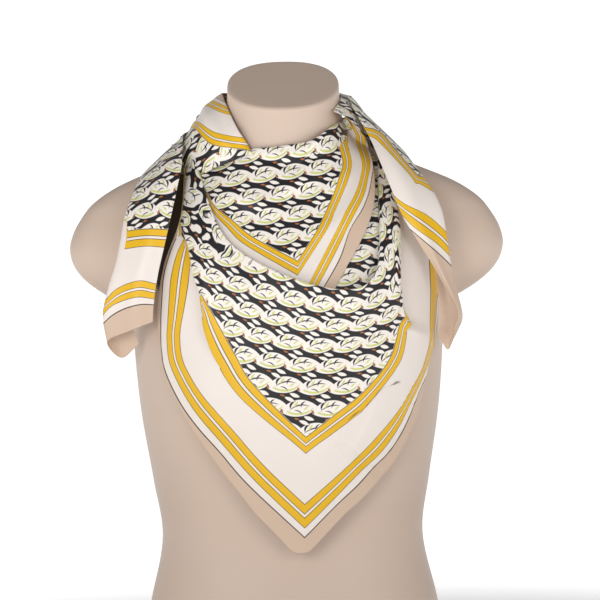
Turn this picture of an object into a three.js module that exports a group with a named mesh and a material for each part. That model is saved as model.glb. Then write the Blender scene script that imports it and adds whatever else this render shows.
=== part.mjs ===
// Silk square scarf, 900 mm a side, worn point-down round the neck of an armless torso form.
// Millimetres, +Z up, the front faces -Y. The origin is the middle of the form's flat base.
import * as THREE from "three";

// Driving dimensions of the cloth
const CLOTH = 1.6; // wall of each stretch of cloth
const CLEARANCE = 1.2; // least gap between cloth and form
const LAYER_GAP = 1.05; // gap kept where one stretch lies over another
const FEEL = 5; // how far round a point the cloth beneath is felt for
const FEEL_FROM = 90; // how far out the feeling rays start
const FEEL_DEPTH = 30; // how far behind a point they still look
const FOLD_END = 0.12; // how much of its height a soft fold keeps at its ends, as a share of a half wave
const BAND_STEP = 0.02; // step along a band that its direction is taken from

// How a hanging end turns behind itself, as shares of its turn, its drop and its crown
const END_TURN = {
  tailIn: 0.42, tailBack: 0.5, lastIn: 0.95, lastBack: 0.42, lastDrop: 0.2, crownLift: 0.3,
};

// Driving dimensions of the form
const FORM_SIDES = 44; // points round one ring of the form
const FORM_RINGS = 34; // rings from base to neck cap
const CAP_CHAMFER = 3; // rounded rim of the neck cap
const BLEND_POWER = 9; // how sharply torso and shoulder sections meet
const TORSO_SQUARENESS = 2.3;
const SHOULDER_SQUARENESS = 2.6;
const SLOPE_STEP = 1.5; // step that the form's normal is taken over
const LEAST_SLOPE = 0.3; // keeps a gap readable where the form is nearly level
const LEVEL_ROUNDS = 6; // rounds of finding a tilted ring's level
const CLEAR_ROUNDS = 4; // rounds of moving a point out of the form
const FRONT_ROUNDS = 18; // halvings that find the form's front
const FRONT_LIMIT = -200; // depth in front of everything

// One row for each level of the torso: half width, depth in front of and behind the middle line
const TORSO_LEVELS = [
  { height: 0, side: 166, front: 102, back: 110, middle: 2, tilt: 0 },
  { height: 60, side: 161, front: 100, back: 106, middle: 1, tilt: 0 },
  { height: 120, side: 151, front: 97, back: 98, middle: 0, tilt: 0 },
  { height: 190, side: 137, front: 94, back: 90, middle: 0, tilt: 0 },
  { height: 250, side: 145, front: 102, back: 94, middle: 0, tilt: 0 },
  { height: 320, side: 156, front: 114, back: 104, middle: 2, tilt: 0 },
  { height: 390, side: 162, front: 120, back: 112, middle: 4, tilt: 0 },
  { height: 440, side: 163, front: 118, back: 112, middle: 8, tilt: 0 },
  { height: 480, side: 159, front: 110, back: 106, middle: 12, tilt: 0 },
  { height: 515, side: 147, front: 98, back: 94, middle: 16, tilt: 0 },
  { height: 545, side: 124, front: 84, back: 80, middle: 18, tilt: 1 },
  { height: 570, side: 97, front: 72, back: 68, middle: 18, tilt: 4 },
  { height: 592, side: 75, front: 64, back: 60, middle: 16, tilt: 8 },
  { height: 615, side: 63, front: 60, back: 57, middle: 12, tilt: 13 },
  { height: 640, side: 59, front: 59, back: 57, middle: 7, tilt: 19 },
  { height: 660, side: 58, front: 59, back: 58, middle: 3, tilt: 22 },
];

// One row for each level of the rounded shoulder ends: reach to the side, half depth
const SHOULDER_LEVELS = [
  { height: 420, reach: 100, depth: 24 },
  { height: 440, reach: 172, depth: 44 },
  { height: 455, reach: 202, depth: 54 },
  { height: 472, reach: 220, depth: 60 },
  { height: 491, reach: 227, depth: 62 },
  { height: 508, reach: 224, depth: 61 },
  { height: 525, reach: 215, depth: 58 },
  { height: 541, reach: 202, depth: 54 },
  { height: 557, reach: 178, depth: 48 },
  { height: 572, reach: 143, depth: 43 },
  { height: 585, reach: 110, depth: 39 },
  { height: 600, reach: 74, depth: 36 },
  { height: 620, reach: 50, depth: 30 },
  { height: 660, reach: 44, depth: 28 },
];

// The front drape: one row for each swag line from the cowl edge down to the point.
// Each x, z pair is where the line passes a hem, a pleat, a quarter or the middle.
const DRAPE_SWAGS = [
  { hemLX: -104, hemLZ: 578, pleatLX: -93, pleatLZ: 581, sideLX: -57, sideLZ: 502,
    midX: 34, midZ: 457, sideRX: 92, sideRZ: 471, pleatRX: 98, pleatRZ: 582, hemRX: 113, hemRZ: 572 },
  { hemLX: -109, hemLZ: 528, pleatLX: -101, pleatLZ: 533, sideLX: -60, sideLZ: 471,
    midX: 32, midZ: 426, sideRX: 103, sideRZ: 454, pleatRX: 111, pleatRZ: 552, hemRX: 138, hemRZ: 538 },
  { hemLX: -127, hemLZ: 477, pleatLX: -99, pleatLZ: 484, sideLX: -57, sideLZ: 434,
    midX: 29, midZ: 393, sideRX: 109, sideRZ: 434, pleatRX: 119, pleatRZ: 502, hemRX: 155, hemRZ: 484 },
  { hemLX: -134, hemLZ: 419, pleatLX: -89, pleatLZ: 422, sideLX: -49, sideLZ: 392,
    midX: 24, midZ: 358, sideRX: 99, sideRZ: 391, pleatRX: 121, pleatRZ: 419, hemRX: 155, hemRZ: 414 },
  { hemLX: -121, hemLZ: 353, pleatLX: -68, pleatLZ: 360, sideLX: -35, sideLZ: 343,
    midX: 19, midZ: 310, sideRX: 77, sideRZ: 335, pleatRX: 102, pleatRZ: 358, hemRX: 140, hemRZ: 351 },
  { hemLX: -81, hemLZ: 276, pleatLX: -42, pleatLZ: 293, sideLX: -19, sideLZ: 279,
    midX: 15, midZ: 254, sideRX: 56, sideRZ: 281, pleatRX: 74, pleatRZ: 291, hemRX: 107, hemRZ: 270 },
  { hemLX: -31, hemLZ: 213, pleatLX: -12, pleatLZ: 222, sideLX: -2, sideLZ: 219,
    midX: 12, midZ: 212, sideRX: 29, sideRZ: 219, pleatRX: 41, pleatRZ: 221, hemRX: 60, hemRZ: 216 },
  { hemLX: 1, hemLZ: 187, pleatLX: 3, pleatLZ: 185, sideLX: 6, sideLZ: 183.5,
    midX: 10, midZ: 183, sideRX: 14, sideRZ: 183.5, pleatRX: 17, pleatRZ: 185, hemRX: 19, hemRZ: 187 },
];

// How far each swag line stands off the form, left to right
const DRAPE_STANDOFF = [
  { hemL: 10, pleatL: 16, sideL: 19, mid: 25, sideR: 24, pleatR: 8, hemR: 6 },
  { hemL: 8, pleatL: 15, sideL: 18, mid: 21, sideR: 22, pleatR: 14, hemR: 6 },
  { hemL: 7, pleatL: 14, sideL: 15, mid: 17, sideR: 20, pleatR: 18, hemR: 7 },
  { hemL: 7, pleatL: 11, sideL: 13, mid: 13, sideR: 14, pleatR: 15, hemR: 8 },
  { hemL: 9, pleatL: 12, sideL: 13, mid: 14, sideR: 13, pleatR: 12, hemR: 9 },
  { hemL: 12, pleatL: 16, sideL: 17, mid: 18, sideR: 17, pleatR: 16, hemR: 11 },
  { hemL: 18, pleatL: 19, sideL: 20, mid: 20, sideR: 20, pleatR: 19, hemR: 18 },
  { hemL: 20, pleatL: 20, sideL: 20, mid: 20, sideR: 20, pleatR: 20, hemR: 20 },
];

// The inner front, which lies on the form behind the tuck and joins it to the drape
const INNER_LINES = [
  { hemLX: -84, hemLZ: 566, sideLX: -42, sideLZ: 566, midX: 6, midZ: 570,
    sideRX: 50, sideRZ: 576, hemRX: 92, hemRZ: 590 },
  { hemLX: -92, hemLZ: 540, sideLX: -46, sideLZ: 530, midX: 8, midZ: 532,
    sideRX: 58, sideRZ: 540, hemRX: 106, hemRZ: 560 },
  { hemLX: -92, hemLZ: 510, sideLX: -46, sideLZ: 495, midX: 12, midZ: 492,
    sideRX: 62, sideRZ: 505, hemRX: 113, hemRZ: 525 },
  { hemLX: -84, hemLZ: 475, sideLX: -42, sideLZ: 460, midX: 16, midZ: 455,
    sideRX: 64, sideRZ: 468, hemRX: 115, hemRZ: 485 },
  { hemLX: -70, hemLZ: 445, sideLX: -34, sideLZ: 430, midX: 18, midZ: 424,
    sideRX: 62, sideRZ: 436, hemRX: 108, hemRZ: 450 },
  { hemLX: -50, hemLZ: 415, sideLX: -22, sideLZ: 405, midX: 18, midZ: 400,
    sideRX: 54, sideRZ: 408, hemRX: 90, hemRZ: 415 },
];

const INNER_STANDOFF = [
  { hemL: 5, sideL: 5, mid: 5, sideR: 5, hemR: 6 },
  { hemL: 6, sideL: 5, mid: 5, sideR: 6, hemR: 10 },
  { hemL: 8, sideL: 5, mid: 5, sideR: 6, hemR: 12 },
  { hemL: 8, sideL: 5, mid: 5, sideR: 6, hemR: 12 },
  { hemL: 6, sideL: 5, mid: 5, sideR: 6, hemR: 9 },
  { hemL: 5, sideL: 5, mid: 5, sideR: 5, hemR: 6 },
];

// The tucked front: one row for each line from the neckline roll down behind the drape
const TUCK_LINES = [
  { hemLX: -84, hemLZ: 583, sideLX: -44, sideLZ: 594, midX: 4, midZ: 599,
    sideRX: 38, sideRZ: 607, hemRX: 66, hemRZ: 628 },
  { hemLX: -88, hemLZ: 570, sideLX: -45, sideLZ: 572, midX: 5, midZ: 578,
    sideRX: 48, sideRZ: 588, hemRX: 74, hemRZ: 603 },
  { hemLX: -87, hemLZ: 557, sideLX: -42, sideLZ: 545, midX: 10, midZ: 545,
    sideRX: 58, sideRZ: 562, hemRX: 93, hemRZ: 572 },
  { hemLX: -77, hemLZ: 529, sideLX: -30, sideLZ: 512, midX: 14, midZ: 508,
    sideRX: 58, sideRZ: 523, hemRX: 91, hemRZ: 536 },
  { hemLX: -60, hemLZ: 487, sideLX: -20, sideLZ: 479, midX: 16, midZ: 478,
    sideRX: 48, sideRZ: 490, hemRX: 78, hemRZ: 504 },
  { hemLX: -29, hemLZ: 458, sideLX: -5, sideLZ: 452, midX: 18, midZ: 448,
    sideRX: 39, sideRZ: 458, hemRX: 58, hemRZ: 470 },
  { hemLX: 0, hemLZ: 432, sideLX: 12, sideLZ: 430, midX: 22, midZ: 428,
    sideRX: 33, sideRZ: 432, hemRX: 40, hemRZ: 438 },
];

const TUCK_STANDOFF = [
  { hemL: 10, sideL: 9, mid: 8, sideR: 9, hemR: 10 },
  { hemL: 11, sideL: 17, mid: 17, sideR: 18, hemR: 16 },
  { hemL: 10, sideL: 10, mid: 10, sideR: 14, hemR: 19 },
  { hemL: 9, sideL: 9, mid: 10, sideR: 12, hemR: 17 },
  { hemL: 7, sideL: 8, mid: 9, sideR: 10, hemR: 12 },
  { hemL: 6, sideL: 6, mid: 6, sideR: 6, hemR: 7 },
  { hemL: 4, sideL: 4, mid: 4, sideR: 4, hemR: 4 },
];

// Bands round the neck: one row for each station, its upper and its lower edge and its bulge
const COLLAR_LEFT = [
  { upX: -30, upY: -46, upZ: 592, lowX: -82, lowY: -38, lowZ: 573, bulge: 6 },
  { upX: -47, upY: -40, upZ: 617, lowX: -99, lowY: -24, lowZ: 577, bulge: 9 },
  { upX: -59, upY: -12, upZ: 642, lowX: -112, lowY: -4, lowZ: 583, bulge: 10 },
  { upX: -64, upY: 26, upZ: 654, lowX: -112, lowY: 41, lowZ: 584, bulge: 10 },
];
const NAPE_UNDER = [
  { upX: -63.6, upY: 27.4, upZ: 654, lowX: -111, lowY: 42.6, lowZ: 584, bulge: 10 },
  { upX: -44, upY: 62, upZ: 652, lowX: -72, lowY: 79, lowZ: 577, bulge: 9 },
  { upX: 0, upY: 76, upZ: 645, lowX: 0, lowY: 85, lowZ: 590, bulge: 8 },
  { upX: 42, upY: 69, upZ: 632, lowX: 58, lowY: 83, lowZ: 573, bulge: 8 },
  { upX: 68, upY: 50, upZ: 624, lowX: 102, lowY: 72, lowZ: 562, bulge: 9 },
  { upX: 75, upY: 30, upZ: 636, lowX: 122, lowY: 47, lowZ: 580, bulge: 6 },
];
const NAPE_OVER = [
  { upX: 61, upY: 26, upZ: 650, lowX: 65, lowY: 30, lowZ: 630, bulge: 2 },
  { upX: 45, upY: 58, upZ: 650, lowX: 53, lowY: 70, lowZ: 626, bulge: 4 },
  { upX: 0, upY: 84, upZ: 648, lowX: 0, lowY: 94, lowZ: 578, bulge: 10 },
  { upX: -48, upY: 78, upZ: 636, lowX: -74, lowY: 86, lowZ: 566, bulge: 11 },
  { upX: -84, upY: 60, upZ: 622, lowX: -110, lowY: 64, lowZ: 562, bulge: 10 },
  { upX: -104, upY: 35, upZ: 612, lowX: -130, lowY: 53, lowZ: 573, bulge: 6 },
];
const COLLAR_RIGHT = [
  { upX: 62, upY: -20, upZ: 636, lowX: 75, lowY: -24, lowZ: 614, bulge: 3 },
  { upX: 61.5, upY: 0, upZ: 646, lowX: 68, lowY: 2, lowZ: 624, bulge: 3 },
  { upX: 61, upY: 25, upZ: 650, lowX: 65, lowY: 29, lowZ: 630, bulge: 2 },
];

// Hanging ends: inner edge, outer fold, then how wide the cloth turns back and how low its corner hangs
const END_LEFT = [
  { inX: -104.6, inY: 33.1, inZ: 612, foldX: -131, foldY: 50.1, foldZ: 575, turn: 3, drop: 0 },
  { inX: -106, inY: 2, inZ: 610, foldX: -146, foldY: 12, foldZ: 574, turn: 5, drop: 0 },
  { inX: -106, inY: -30, inZ: 598, foldX: -154, foldY: -20, foldZ: 563, turn: 8, drop: 0 },
  { inX: -107, inY: -52, inZ: 580, foldX: -160, foldY: -42, foldZ: 548, turn: 11, drop: 0 },
  { inX: -112, inY: -66, inZ: 557, foldX: -167, foldY: -56, foldZ: 529, turn: 14, drop: 0 },
  { inX: -118, inY: -78, inZ: 531, foldX: -171, foldY: -66, foldZ: 508, turn: 17, drop: 1 },
  { inX: -125, inY: -85, inZ: 502, foldX: -176, foldY: -72, foldZ: 485, turn: 20, drop: 2 },
  { inX: -132, inY: -88, inZ: 474, foldX: -185, foldY: -76, foldZ: 457, turn: 24, drop: 3 },
  { inX: -137, inY: -90, inZ: 446, foldX: -191, foldY: -77, foldZ: 430, turn: 29, drop: 6 },
  { inX: -139, inY: -90, inZ: 423, foldX: -187, foldY: -77, foldZ: 402, turn: 34, drop: 18 },
];
const END_RIGHT = [
  { inX: 75, inY: 28, inZ: 636, foldX: 122.5, foldY: 43.9, foldZ: 582, turn: 3, drop: 0 },
  { inX: 74, inY: 2, inZ: 642, foldX: 126, foldY: 12, foldZ: 588, turn: 5, drop: 0 },
  { inX: 80, inY: -26, inZ: 628, foldX: 132, foldY: -17, foldZ: 581, turn: 8, drop: 0 },
  { inX: 90, inY: -48, inZ: 604, foldX: 142, foldY: -38, foldZ: 567, turn: 11, drop: 0 },
  { inX: 100, inY: -64, inZ: 579, foldX: 154, foldY: -53, foldZ: 549, turn: 14, drop: 0 },
  { inX: 110, inY: -76, inZ: 553, foldX: 162, foldY: -63, foldZ: 529, turn: 17, drop: 0 },
  { inX: 118, inY: -84, inZ: 527, foldX: 166, foldY: -70, foldZ: 505, turn: 20, drop: 1 },
  { inX: 124, inY: -88, inZ: 501, foldX: 169, foldY: -75, foldZ: 480, turn: 24, drop: 2 },
  { inX: 131, inY: -90, inZ: 474, foldX: 173, foldY: -77, foldZ: 456, turn: 28, drop: 3 },
  { inX: 143, inY: -90, inZ: 447, foldX: 179, foldY: -78, foldZ: 432, turn: 34, drop: 5 },
  { inX: 154, inY: -87, inZ: 424, foldX: 181, foldY: -78, foldZ: 412, turn: 36, drop: 10 },
  { inX: 163, inY: -83, inZ: 404, foldX: 176, foldY: -77, foldZ: 398, turn: 30, drop: 16 },
];

// Soft folds pressed into the drape: a ridge from one point to another, as wide and as high as stated
const DRAPE_FOLDS = [
  { fromX: -96, fromZ: 560, toX: -80, toZ: 410, width: 9, rise: 6 },
  { fromX: 108, fromZ: 560, toX: 116, toZ: 430, width: 10, rise: 5 },
  { fromX: 92, fromZ: 520, toX: 60, toZ: 400, width: 14, rise: 4 },
  { fromX: -60, fromZ: 480, toX: -20, toZ: 400, width: 14, rise: 3 },
  { fromX: -115, fromZ: 400, toX: -60, toZ: 300, width: 13, rise: 2.5 },
  { fromX: 60, fromZ: 345, toX: 20, toZ: 250, width: 16, rise: 2.5 },
];
const TUCK_FOLDS = [
  { fromX: -70, fromZ: 570, toX: 60, toZ: 585, width: 9, rise: -4 },
  { fromX: -60, fromZ: 548, toX: 20, toZ: 530, width: 10, rise: 3 },
  { fromX: 88, fromZ: 585, toX: 20, toZ: 540, width: 9, rise: 3.5 },
  { fromX: 80, fromZ: 545, toX: 25, toZ: 500, width: 10, rise: 3 },
];

// Lengthwise pleats of each gathered stretch: how many waves and how high, and an end's crown
const PLEATS = {
  collarLeft: { waves: 1.5, rise: 1.6 },
  collarRight: { waves: 1, rise: 0.8 },
  napeUnder: { waves: 3, rise: 1.6 },
  napeOver: { waves: 3, rise: 1.6 },
  endLeft: { waves: 2, rise: 1.8, crown: 5 },
  endRight: { waves: 2, rise: 1.8, crown: 6 },
};

const SILK = { color: 0xe9e2db, roughness: 0.45, metalness: 0 };
const FORM_SKIN = { color: 0xb9a496, roughness: 0.6, metalness: 0 };

// Smooth reading of one column of a table at share t of the way through its rows
function column(table, key) {
  const curve = new THREE.SplineCurve(table.map((row, i) => new THREE.Vector2(i, row[key])));
  return (t) => curve.getPoint(t).y;
}

// Reading of a column of a table at a height, by cubic steps between its rows
function atHeight(table, key, height) {
  const last = table.length - 1;
  const z = Math.min(Math.max(height, table[0].height), table[last].height);
  let i = 0;
  while (i < last - 1 && table[i + 1].height < z) i += 1;
  const slope = (k) => {
    const a = table[Math.max(k - 1, 0)];
    const b = table[Math.min(k + 1, last)];
    return (b[key] - a[key]) / (b.height - a.height);
  };
  const span = table[i + 1].height - table[i].height;
  const u = (z - table[i].height) / span;
  const bend = u * u * (3 - 2 * u);
  const rise = table[i + 1][key] - table[i][key];
  return table[i][key] + rise * bend
    + span * (slope(i) * u * (1 - u) * (1 - u) - slope(i + 1) * u * u * (1 - u));
}

// Radius of a squared ellipse in one direction
function squareEllipse(cos, sin, reach, depth, power) {
  return (Math.abs(cos / reach) ** power + Math.abs(sin / depth) ** power) ** (-1 / power);
}

// Radius of the form's ring in direction angle, at a level
function formRadius(angle, height) {
  const cos = Math.cos(angle);
  const sin = Math.sin(angle);
  const side = atHeight(TORSO_LEVELS, "side", height);
  const deep = atHeight(TORSO_LEVELS, sin < 0 ? "front" : "back", height);
  const torso = squareEllipse(cos, sin, side, deep, TORSO_SQUARENESS);
  if (height < SHOULDER_LEVELS[0].height) return torso;
  const reach = atHeight(SHOULDER_LEVELS, "reach", height);
  const depth = atHeight(SHOULDER_LEVELS, "depth", height);
  const shoulder = squareEllipse(cos, sin, reach, depth, SHOULDER_SQUARENESS);
  return (torso ** BLEND_POWER + shoulder ** BLEND_POWER) ** (1 / BLEND_POWER);
}

const tiltOf = (height) => Math.tan(THREE.MathUtils.degToRad(atHeight(TORSO_LEVELS, "tilt", height)));
const middleOf = (height) => atHeight(TORSO_LEVELS, "middle", height);

// Level of the tilted ring that passes through a point
function ringLevel(point) {
  let height = point.z;
  for (let i = 0; i < LEVEL_ROUNDS; i += 1) {
    height = point.z - (point.y - middleOf(height)) * tiltOf(height);
  }
  return height;
}

// Signed distance of a point outside the form, to first order
function outside(point) {
  const level = ringLevel(point);
  const y = point.y - middleOf(level);
  return Math.hypot(point.x, y) - formRadius(Math.atan2(y, point.x), level);
}

function outsideAndNormal(point) {
  const here = outside(point);
  const slope = new THREE.Vector3();
  for (const axis of ["x", "y", "z"]) {
    const ahead = point.clone();
    ahead[axis] += SLOPE_STEP;
    const behind = point.clone();
    behind[axis] -= SLOPE_STEP;
    slope[axis] = (outside(ahead) - outside(behind)) / (2 * SLOPE_STEP);
  }
  const steepness = Math.max(slope.length(), LEAST_SLOPE);
  return { gap: here / steepness, normal: slope.normalize() };
}

// Moves a point out until it clears the form
function clearOfForm(point, gapWanted) {
  const top = TORSO_LEVELS[TORSO_LEVELS.length - 1].height;
  for (let i = 0; i < CLEAR_ROUNDS; i += 1) {
    if (ringLevel(point) > top) return point;
    const { gap, normal } = outsideAndNormal(point);
    if (gap >= gapWanted) return point;
    point.addScaledVector(normal, gapWanted - gap);
  }
  return point;
}

// Where the cloth beneath is felt for, as shares of FEEL to the side and up
const FEELERS = [
  [0, 0], [1, 0], [-1, 0], [0, 1], [0, -1],
  [0.7, 0.7], [0.7, -0.7], [-0.7, 0.7], [-0.7, -0.7],
];

// Moves a point out along the form's normal until it lies over the stretches beneath it
function layOver(point, beneath) {
  if (!beneath.length) return point;
  const { normal } = outsideAndNormal(point);
  const inward = normal.clone().negate();
  const side = new THREE.Vector3(0, 0, 1).cross(normal).normalize();
  const up = normal.clone().cross(side);
  let push = 0;
  for (const [a, b] of FEELERS) {
    const from = point.clone().addScaledVector(normal, FEEL_FROM);
    from.addScaledVector(side, a * FEEL).addScaledVector(up, b * FEEL);
    const hits = new THREE.Raycaster(from, inward, 0, FEEL_FROM + FEEL_DEPTH).intersectObjects(beneath);
    if (hits.length) push = Math.max(push, FEEL_FROM - hits[0].distance + CLOTH + LAYER_GAP);
  }
  return point.addScaledVector(normal, push);
}

// Depth of the form's front at x, z, found by walking in from the front
function formFront(x, z) {
  const probe = new THREE.Vector3(x, FRONT_LIMIT, z);
  let near = FRONT_LIMIT;
  let far = middleOf(z);
  probe.y = far;
  if (outside(probe) > 0) return far;
  for (let i = 0; i < FRONT_ROUNDS; i += 1) {
    probe.y = (near + far) / 2;
    if (outside(probe) > 0) near = probe.y;
    else far = probe.y;
  }
  return far;
}

// Height of a soft fold at x, z
function foldRise(folds, x, z) {
  let total = 0;
  for (const fold of folds) {
    const runX = fold.toX - fold.fromX;
    const runZ = fold.toZ - fold.fromZ;
    const along = ((x - fold.fromX) * runX + (z - fold.fromZ) * runZ) / (runX * runX + runZ * runZ);
    const near = Math.min(Math.max(along, 0), 1);
    const away = Math.hypot(x - fold.fromX - near * runX, z - fold.fromZ - near * runZ);
    const taper = Math.sin(Math.PI * (FOLD_END + (1 - 2 * FOLD_END) * near));
    total += fold.rise * taper * Math.exp(-((away / fold.width) ** 2));
  }
  return total;
}

// Closed wall of cloth: outer points from pointAt(across, down), inner points one wall behind them
function clothWall(name, across, down, pointAt, finish) {
  const outer = [];
  for (let j = 0; j <= down; j += 1) {
    for (let i = 0; i <= across; i += 1) outer.push(pointAt(i / across, j / down));
  }
  const at = (i, j) => outer[j * (across + 1) + i];
  const inner = outer.map((point, n) => {
    const i = n % (across + 1);
    const j = (n - i) / (across + 1);
    const alongRow = at(Math.min(i + 1, across), j).clone().sub(at(Math.max(i - 1, 0), j));
    const downRows = at(i, Math.min(j + 1, down)).clone().sub(at(i, Math.max(j - 1, 0)));
    const normal = downRows.cross(alongRow).normalize();
    return point.clone().addScaledVector(normal, -CLOTH);
  });
  const points = outer.concat(inner);
  const shift = outer.length;
  const id = (i, j) => j * (across + 1) + i;
  const faces = [];
  const quad = (a, b, c, d) => faces.push(a, b, c, a, c, d);
  for (let j = 0; j < down; j += 1) {
    for (let i = 0; i < across; i += 1) {
      const [a, b, c, d] = [id(i, j), id(i, j + 1), id(i + 1, j + 1), id(i + 1, j)];
      quad(a, b, c, d);
      quad(shift + a, shift + d, shift + c, shift + b);
    }
  }
  for (let i = 0; i < across; i += 1) {
    quad(id(i, 0), id(i + 1, 0), shift + id(i + 1, 0), shift + id(i, 0));
    quad(id(i + 1, down), id(i, down), shift + id(i, down), shift + id(i + 1, down));
  }
  for (let j = 0; j < down; j += 1) {
    quad(id(0, j + 1), id(0, j), shift + id(0, j), shift + id(0, j + 1));
    quad(id(across, j), id(across, j + 1), shift + id(across, j + 1), shift + id(across, j));
  }
  return solid(name, points, faces, finish);
}

function solid(name, points, faces, finish) {
  const geometry = new THREE.BufferGeometry();
  const numbers = points.flatMap((p) => [p.x, p.y, p.z]);
  geometry.setAttribute("position", new THREE.Float32BufferAttribute(numbers, 3));
  geometry.setIndex(faces);
  geometry.computeVertexNormals();
  const mesh = new THREE.Mesh(geometry, new THREE.MeshStandardMaterial(finish));
  mesh.name = name;
  return mesh;
}

// The armless form: stacked rings, a flat base and a tilted neck cap with a rounded rim
function torsoForm() {
  const top = TORSO_LEVELS[TORSO_LEVELS.length - 1].height;
  const points = [];
  const ring = (height, shrink, lift) => {
    for (let i = 0; i < FORM_SIDES; i += 1) {
      const angle = (2 * Math.PI * i) / FORM_SIDES;
      const radius = formRadius(angle, height) - shrink;
      const y = radius * Math.sin(angle);
      const z = height + lift + y * tiltOf(height);
      points.push(new THREE.Vector3(radius * Math.cos(angle), middleOf(height) + y, z));
    }
  };
  const levels = column(TORSO_LEVELS, "height");
  for (let j = 0; j < FORM_RINGS; j += 1) ring(levels(j / (FORM_RINGS - 1)), 0, 0);
  ring(top, CAP_CHAMFER, CAP_CHAMFER);
  const rings = FORM_RINGS + 1;
  const faces = [];
  for (let j = 0; j < rings - 1; j += 1) {
    for (let i = 0; i < FORM_SIDES; i += 1) {
      const a = j * FORM_SIDES + i;
      const b = j * FORM_SIDES + ((i + 1) % FORM_SIDES);
      faces.push(a, b, b + FORM_SIDES, a, b + FORM_SIDES, a + FORM_SIDES);
    }
  }
  const base = points.push(new THREE.Vector3(0, middleOf(0), 0)) - 1;
  const cap = points.push(new THREE.Vector3(0, middleOf(top), top + CAP_CHAMFER)) - 1;
  const lastRing = (rings - 1) * FORM_SIDES;
  for (let i = 0; i < FORM_SIDES; i += 1) {
    const next = (i + 1) % FORM_SIDES;
    faces.push(base, next, i);
    faces.push(cap, lastRing + i, lastRing + next);
  }
  return solid("torso_form", points, faces, FORM_SKIN);
}

// A panel on the front of the form, from its lines of x, z places and their standoff
function frontPanel(name, lines, standoff, places, folds, across, down, beneath) {
  const read = places.map((place) => ({
    x: column(lines, `${place}X`),
    z: column(lines, `${place}Z`),
    off: column(standoff, place),
  }));
  return clothWall(name, across, down, (s, t) => {
    const stops = read.map((place) => new THREE.Vector3(place.x(t), place.z(t), place.off(t)));
    const line = new THREE.CatmullRomCurve3(stops, false, "catmullrom", 0.5).getPoint(s);
    const [x, z, off] = [line.x, line.y, line.z];
    const y = formFront(x, z) - off - foldRise(folds, x, z);
    return layOver(clearOfForm(new THREE.Vector3(x, y, z), CLEARANCE + CLOTH), beneath);
  }, SILK);
}

const vectorAt = (readers, t) => new THREE.Vector3(readers[0](t), readers[1](t), readers[2](t));
const edge = (table, prefix) => ["X", "Y", "Z"].map((axis) => column(table, prefix + axis));

// A gathered band from its upper to its lower edge, crowned and pleated lengthwise
function neckBand(name, stations, pleat, across, along, beneath) {
  const upper = edge(stations, "up");
  const lower = edge(stations, "low");
  const bulge = column(stations, "bulge");
  return clothWall(name, across, along, (s, t) => {
    const up = vectorAt(upper, t);
    const low = vectorAt(lower, t);
    const next = Math.min(t + BAND_STEP, 1);
    const last = Math.max(t - BAND_STEP, 0);
    const ahead = vectorAt(upper, next).add(vectorAt(lower, next));
    const back = vectorAt(upper, last).add(vectorAt(lower, last));
    const middle = up.clone().lerp(low, 0.5);
    const outward = outwardOf(low.clone().sub(up), ahead.sub(back), middle);
    const rise = bulge(t) * Math.sin(Math.PI * s) + pleat.rise * Math.sin(2 * Math.PI * pleat.waves * s);
    const point = up.lerp(low, s).addScaledVector(outward, rise);
    return layOver(clearOfForm(point, CLEARANCE + CLOTH), beneath);
  }, SILK);
}

// Unit vector square to two directions, pointing away from the neck's middle line
function outwardOf(first, second, from) {
  const outward = first.clone().cross(second).normalize();
  const away = new THREE.Vector3(from.x, from.y - middleOf(from.z), 0);
  if (outward.dot(away) < 0) outward.negate();
  return outward;
}

// A hanging end: a front panel, an outer fold, and the cloth that turns back behind it
function hangingEnd(name, stations, pleat, across, along, beneath) {
  const inner = edge(stations, "in");
  const outer = edge(stations, "fold");
  const turnOf = column(stations, "turn");
  const dropOf = column(stations, "drop");
  return clothWall(name, across, along, (s, t) => {
    const from = vectorAt(inner, t);
    const fold = vectorAt(outer, t);
    const turn = turnOf(t);
    const drop = dropOf(t);
    const inwards = -Math.sign(from.x) * turn;
    const crown = new THREE.Vector3(0, -pleat.crown, END_TURN.crownLift * pleat.crown);
    const tail = new THREE.Vector3(END_TURN.tailIn * inwards, END_TURN.tailBack * turn, -drop);
    const rise = -END_TURN.lastDrop * drop;
    const back = new THREE.Vector3(END_TURN.lastIn * inwards, END_TURN.lastBack * turn, rise);
    const stops = [from, crown.add(from.clone().lerp(fold, 0.5)), fold, tail.add(fold), back.add(fold)];
    const point = new THREE.CatmullRomCurve3(stops, false, "centripetal").getPoint(s);
    point.y -= pleat.rise * Math.sin(2 * Math.PI * pleat.waves * s) * Math.sin(Math.PI * Math.min(2 * s, 1));
    return layOver(clearOfForm(point, CLEARANCE + CLOTH), beneath);
  }, SILK);
}

const DRAPE_PLACES = ["hemL", "pleatL", "sideL", "mid", "sideR", "pleatR", "hemR"];
const TUCK_PLACES = ["hemL", "sideL", "mid", "sideR", "hemR"];

// Steps across and along each stretch of cloth
const GRIDS = {
  inner: [16, 12],
  tuck: [22, 16],
  drape: [32, 26],
  collarLeft: [10, 8],
  collarRight: [6, 5],
  nape: [12, 14],
  endLeft: [20, 18],
  endRight: [20, 20],
};

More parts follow.
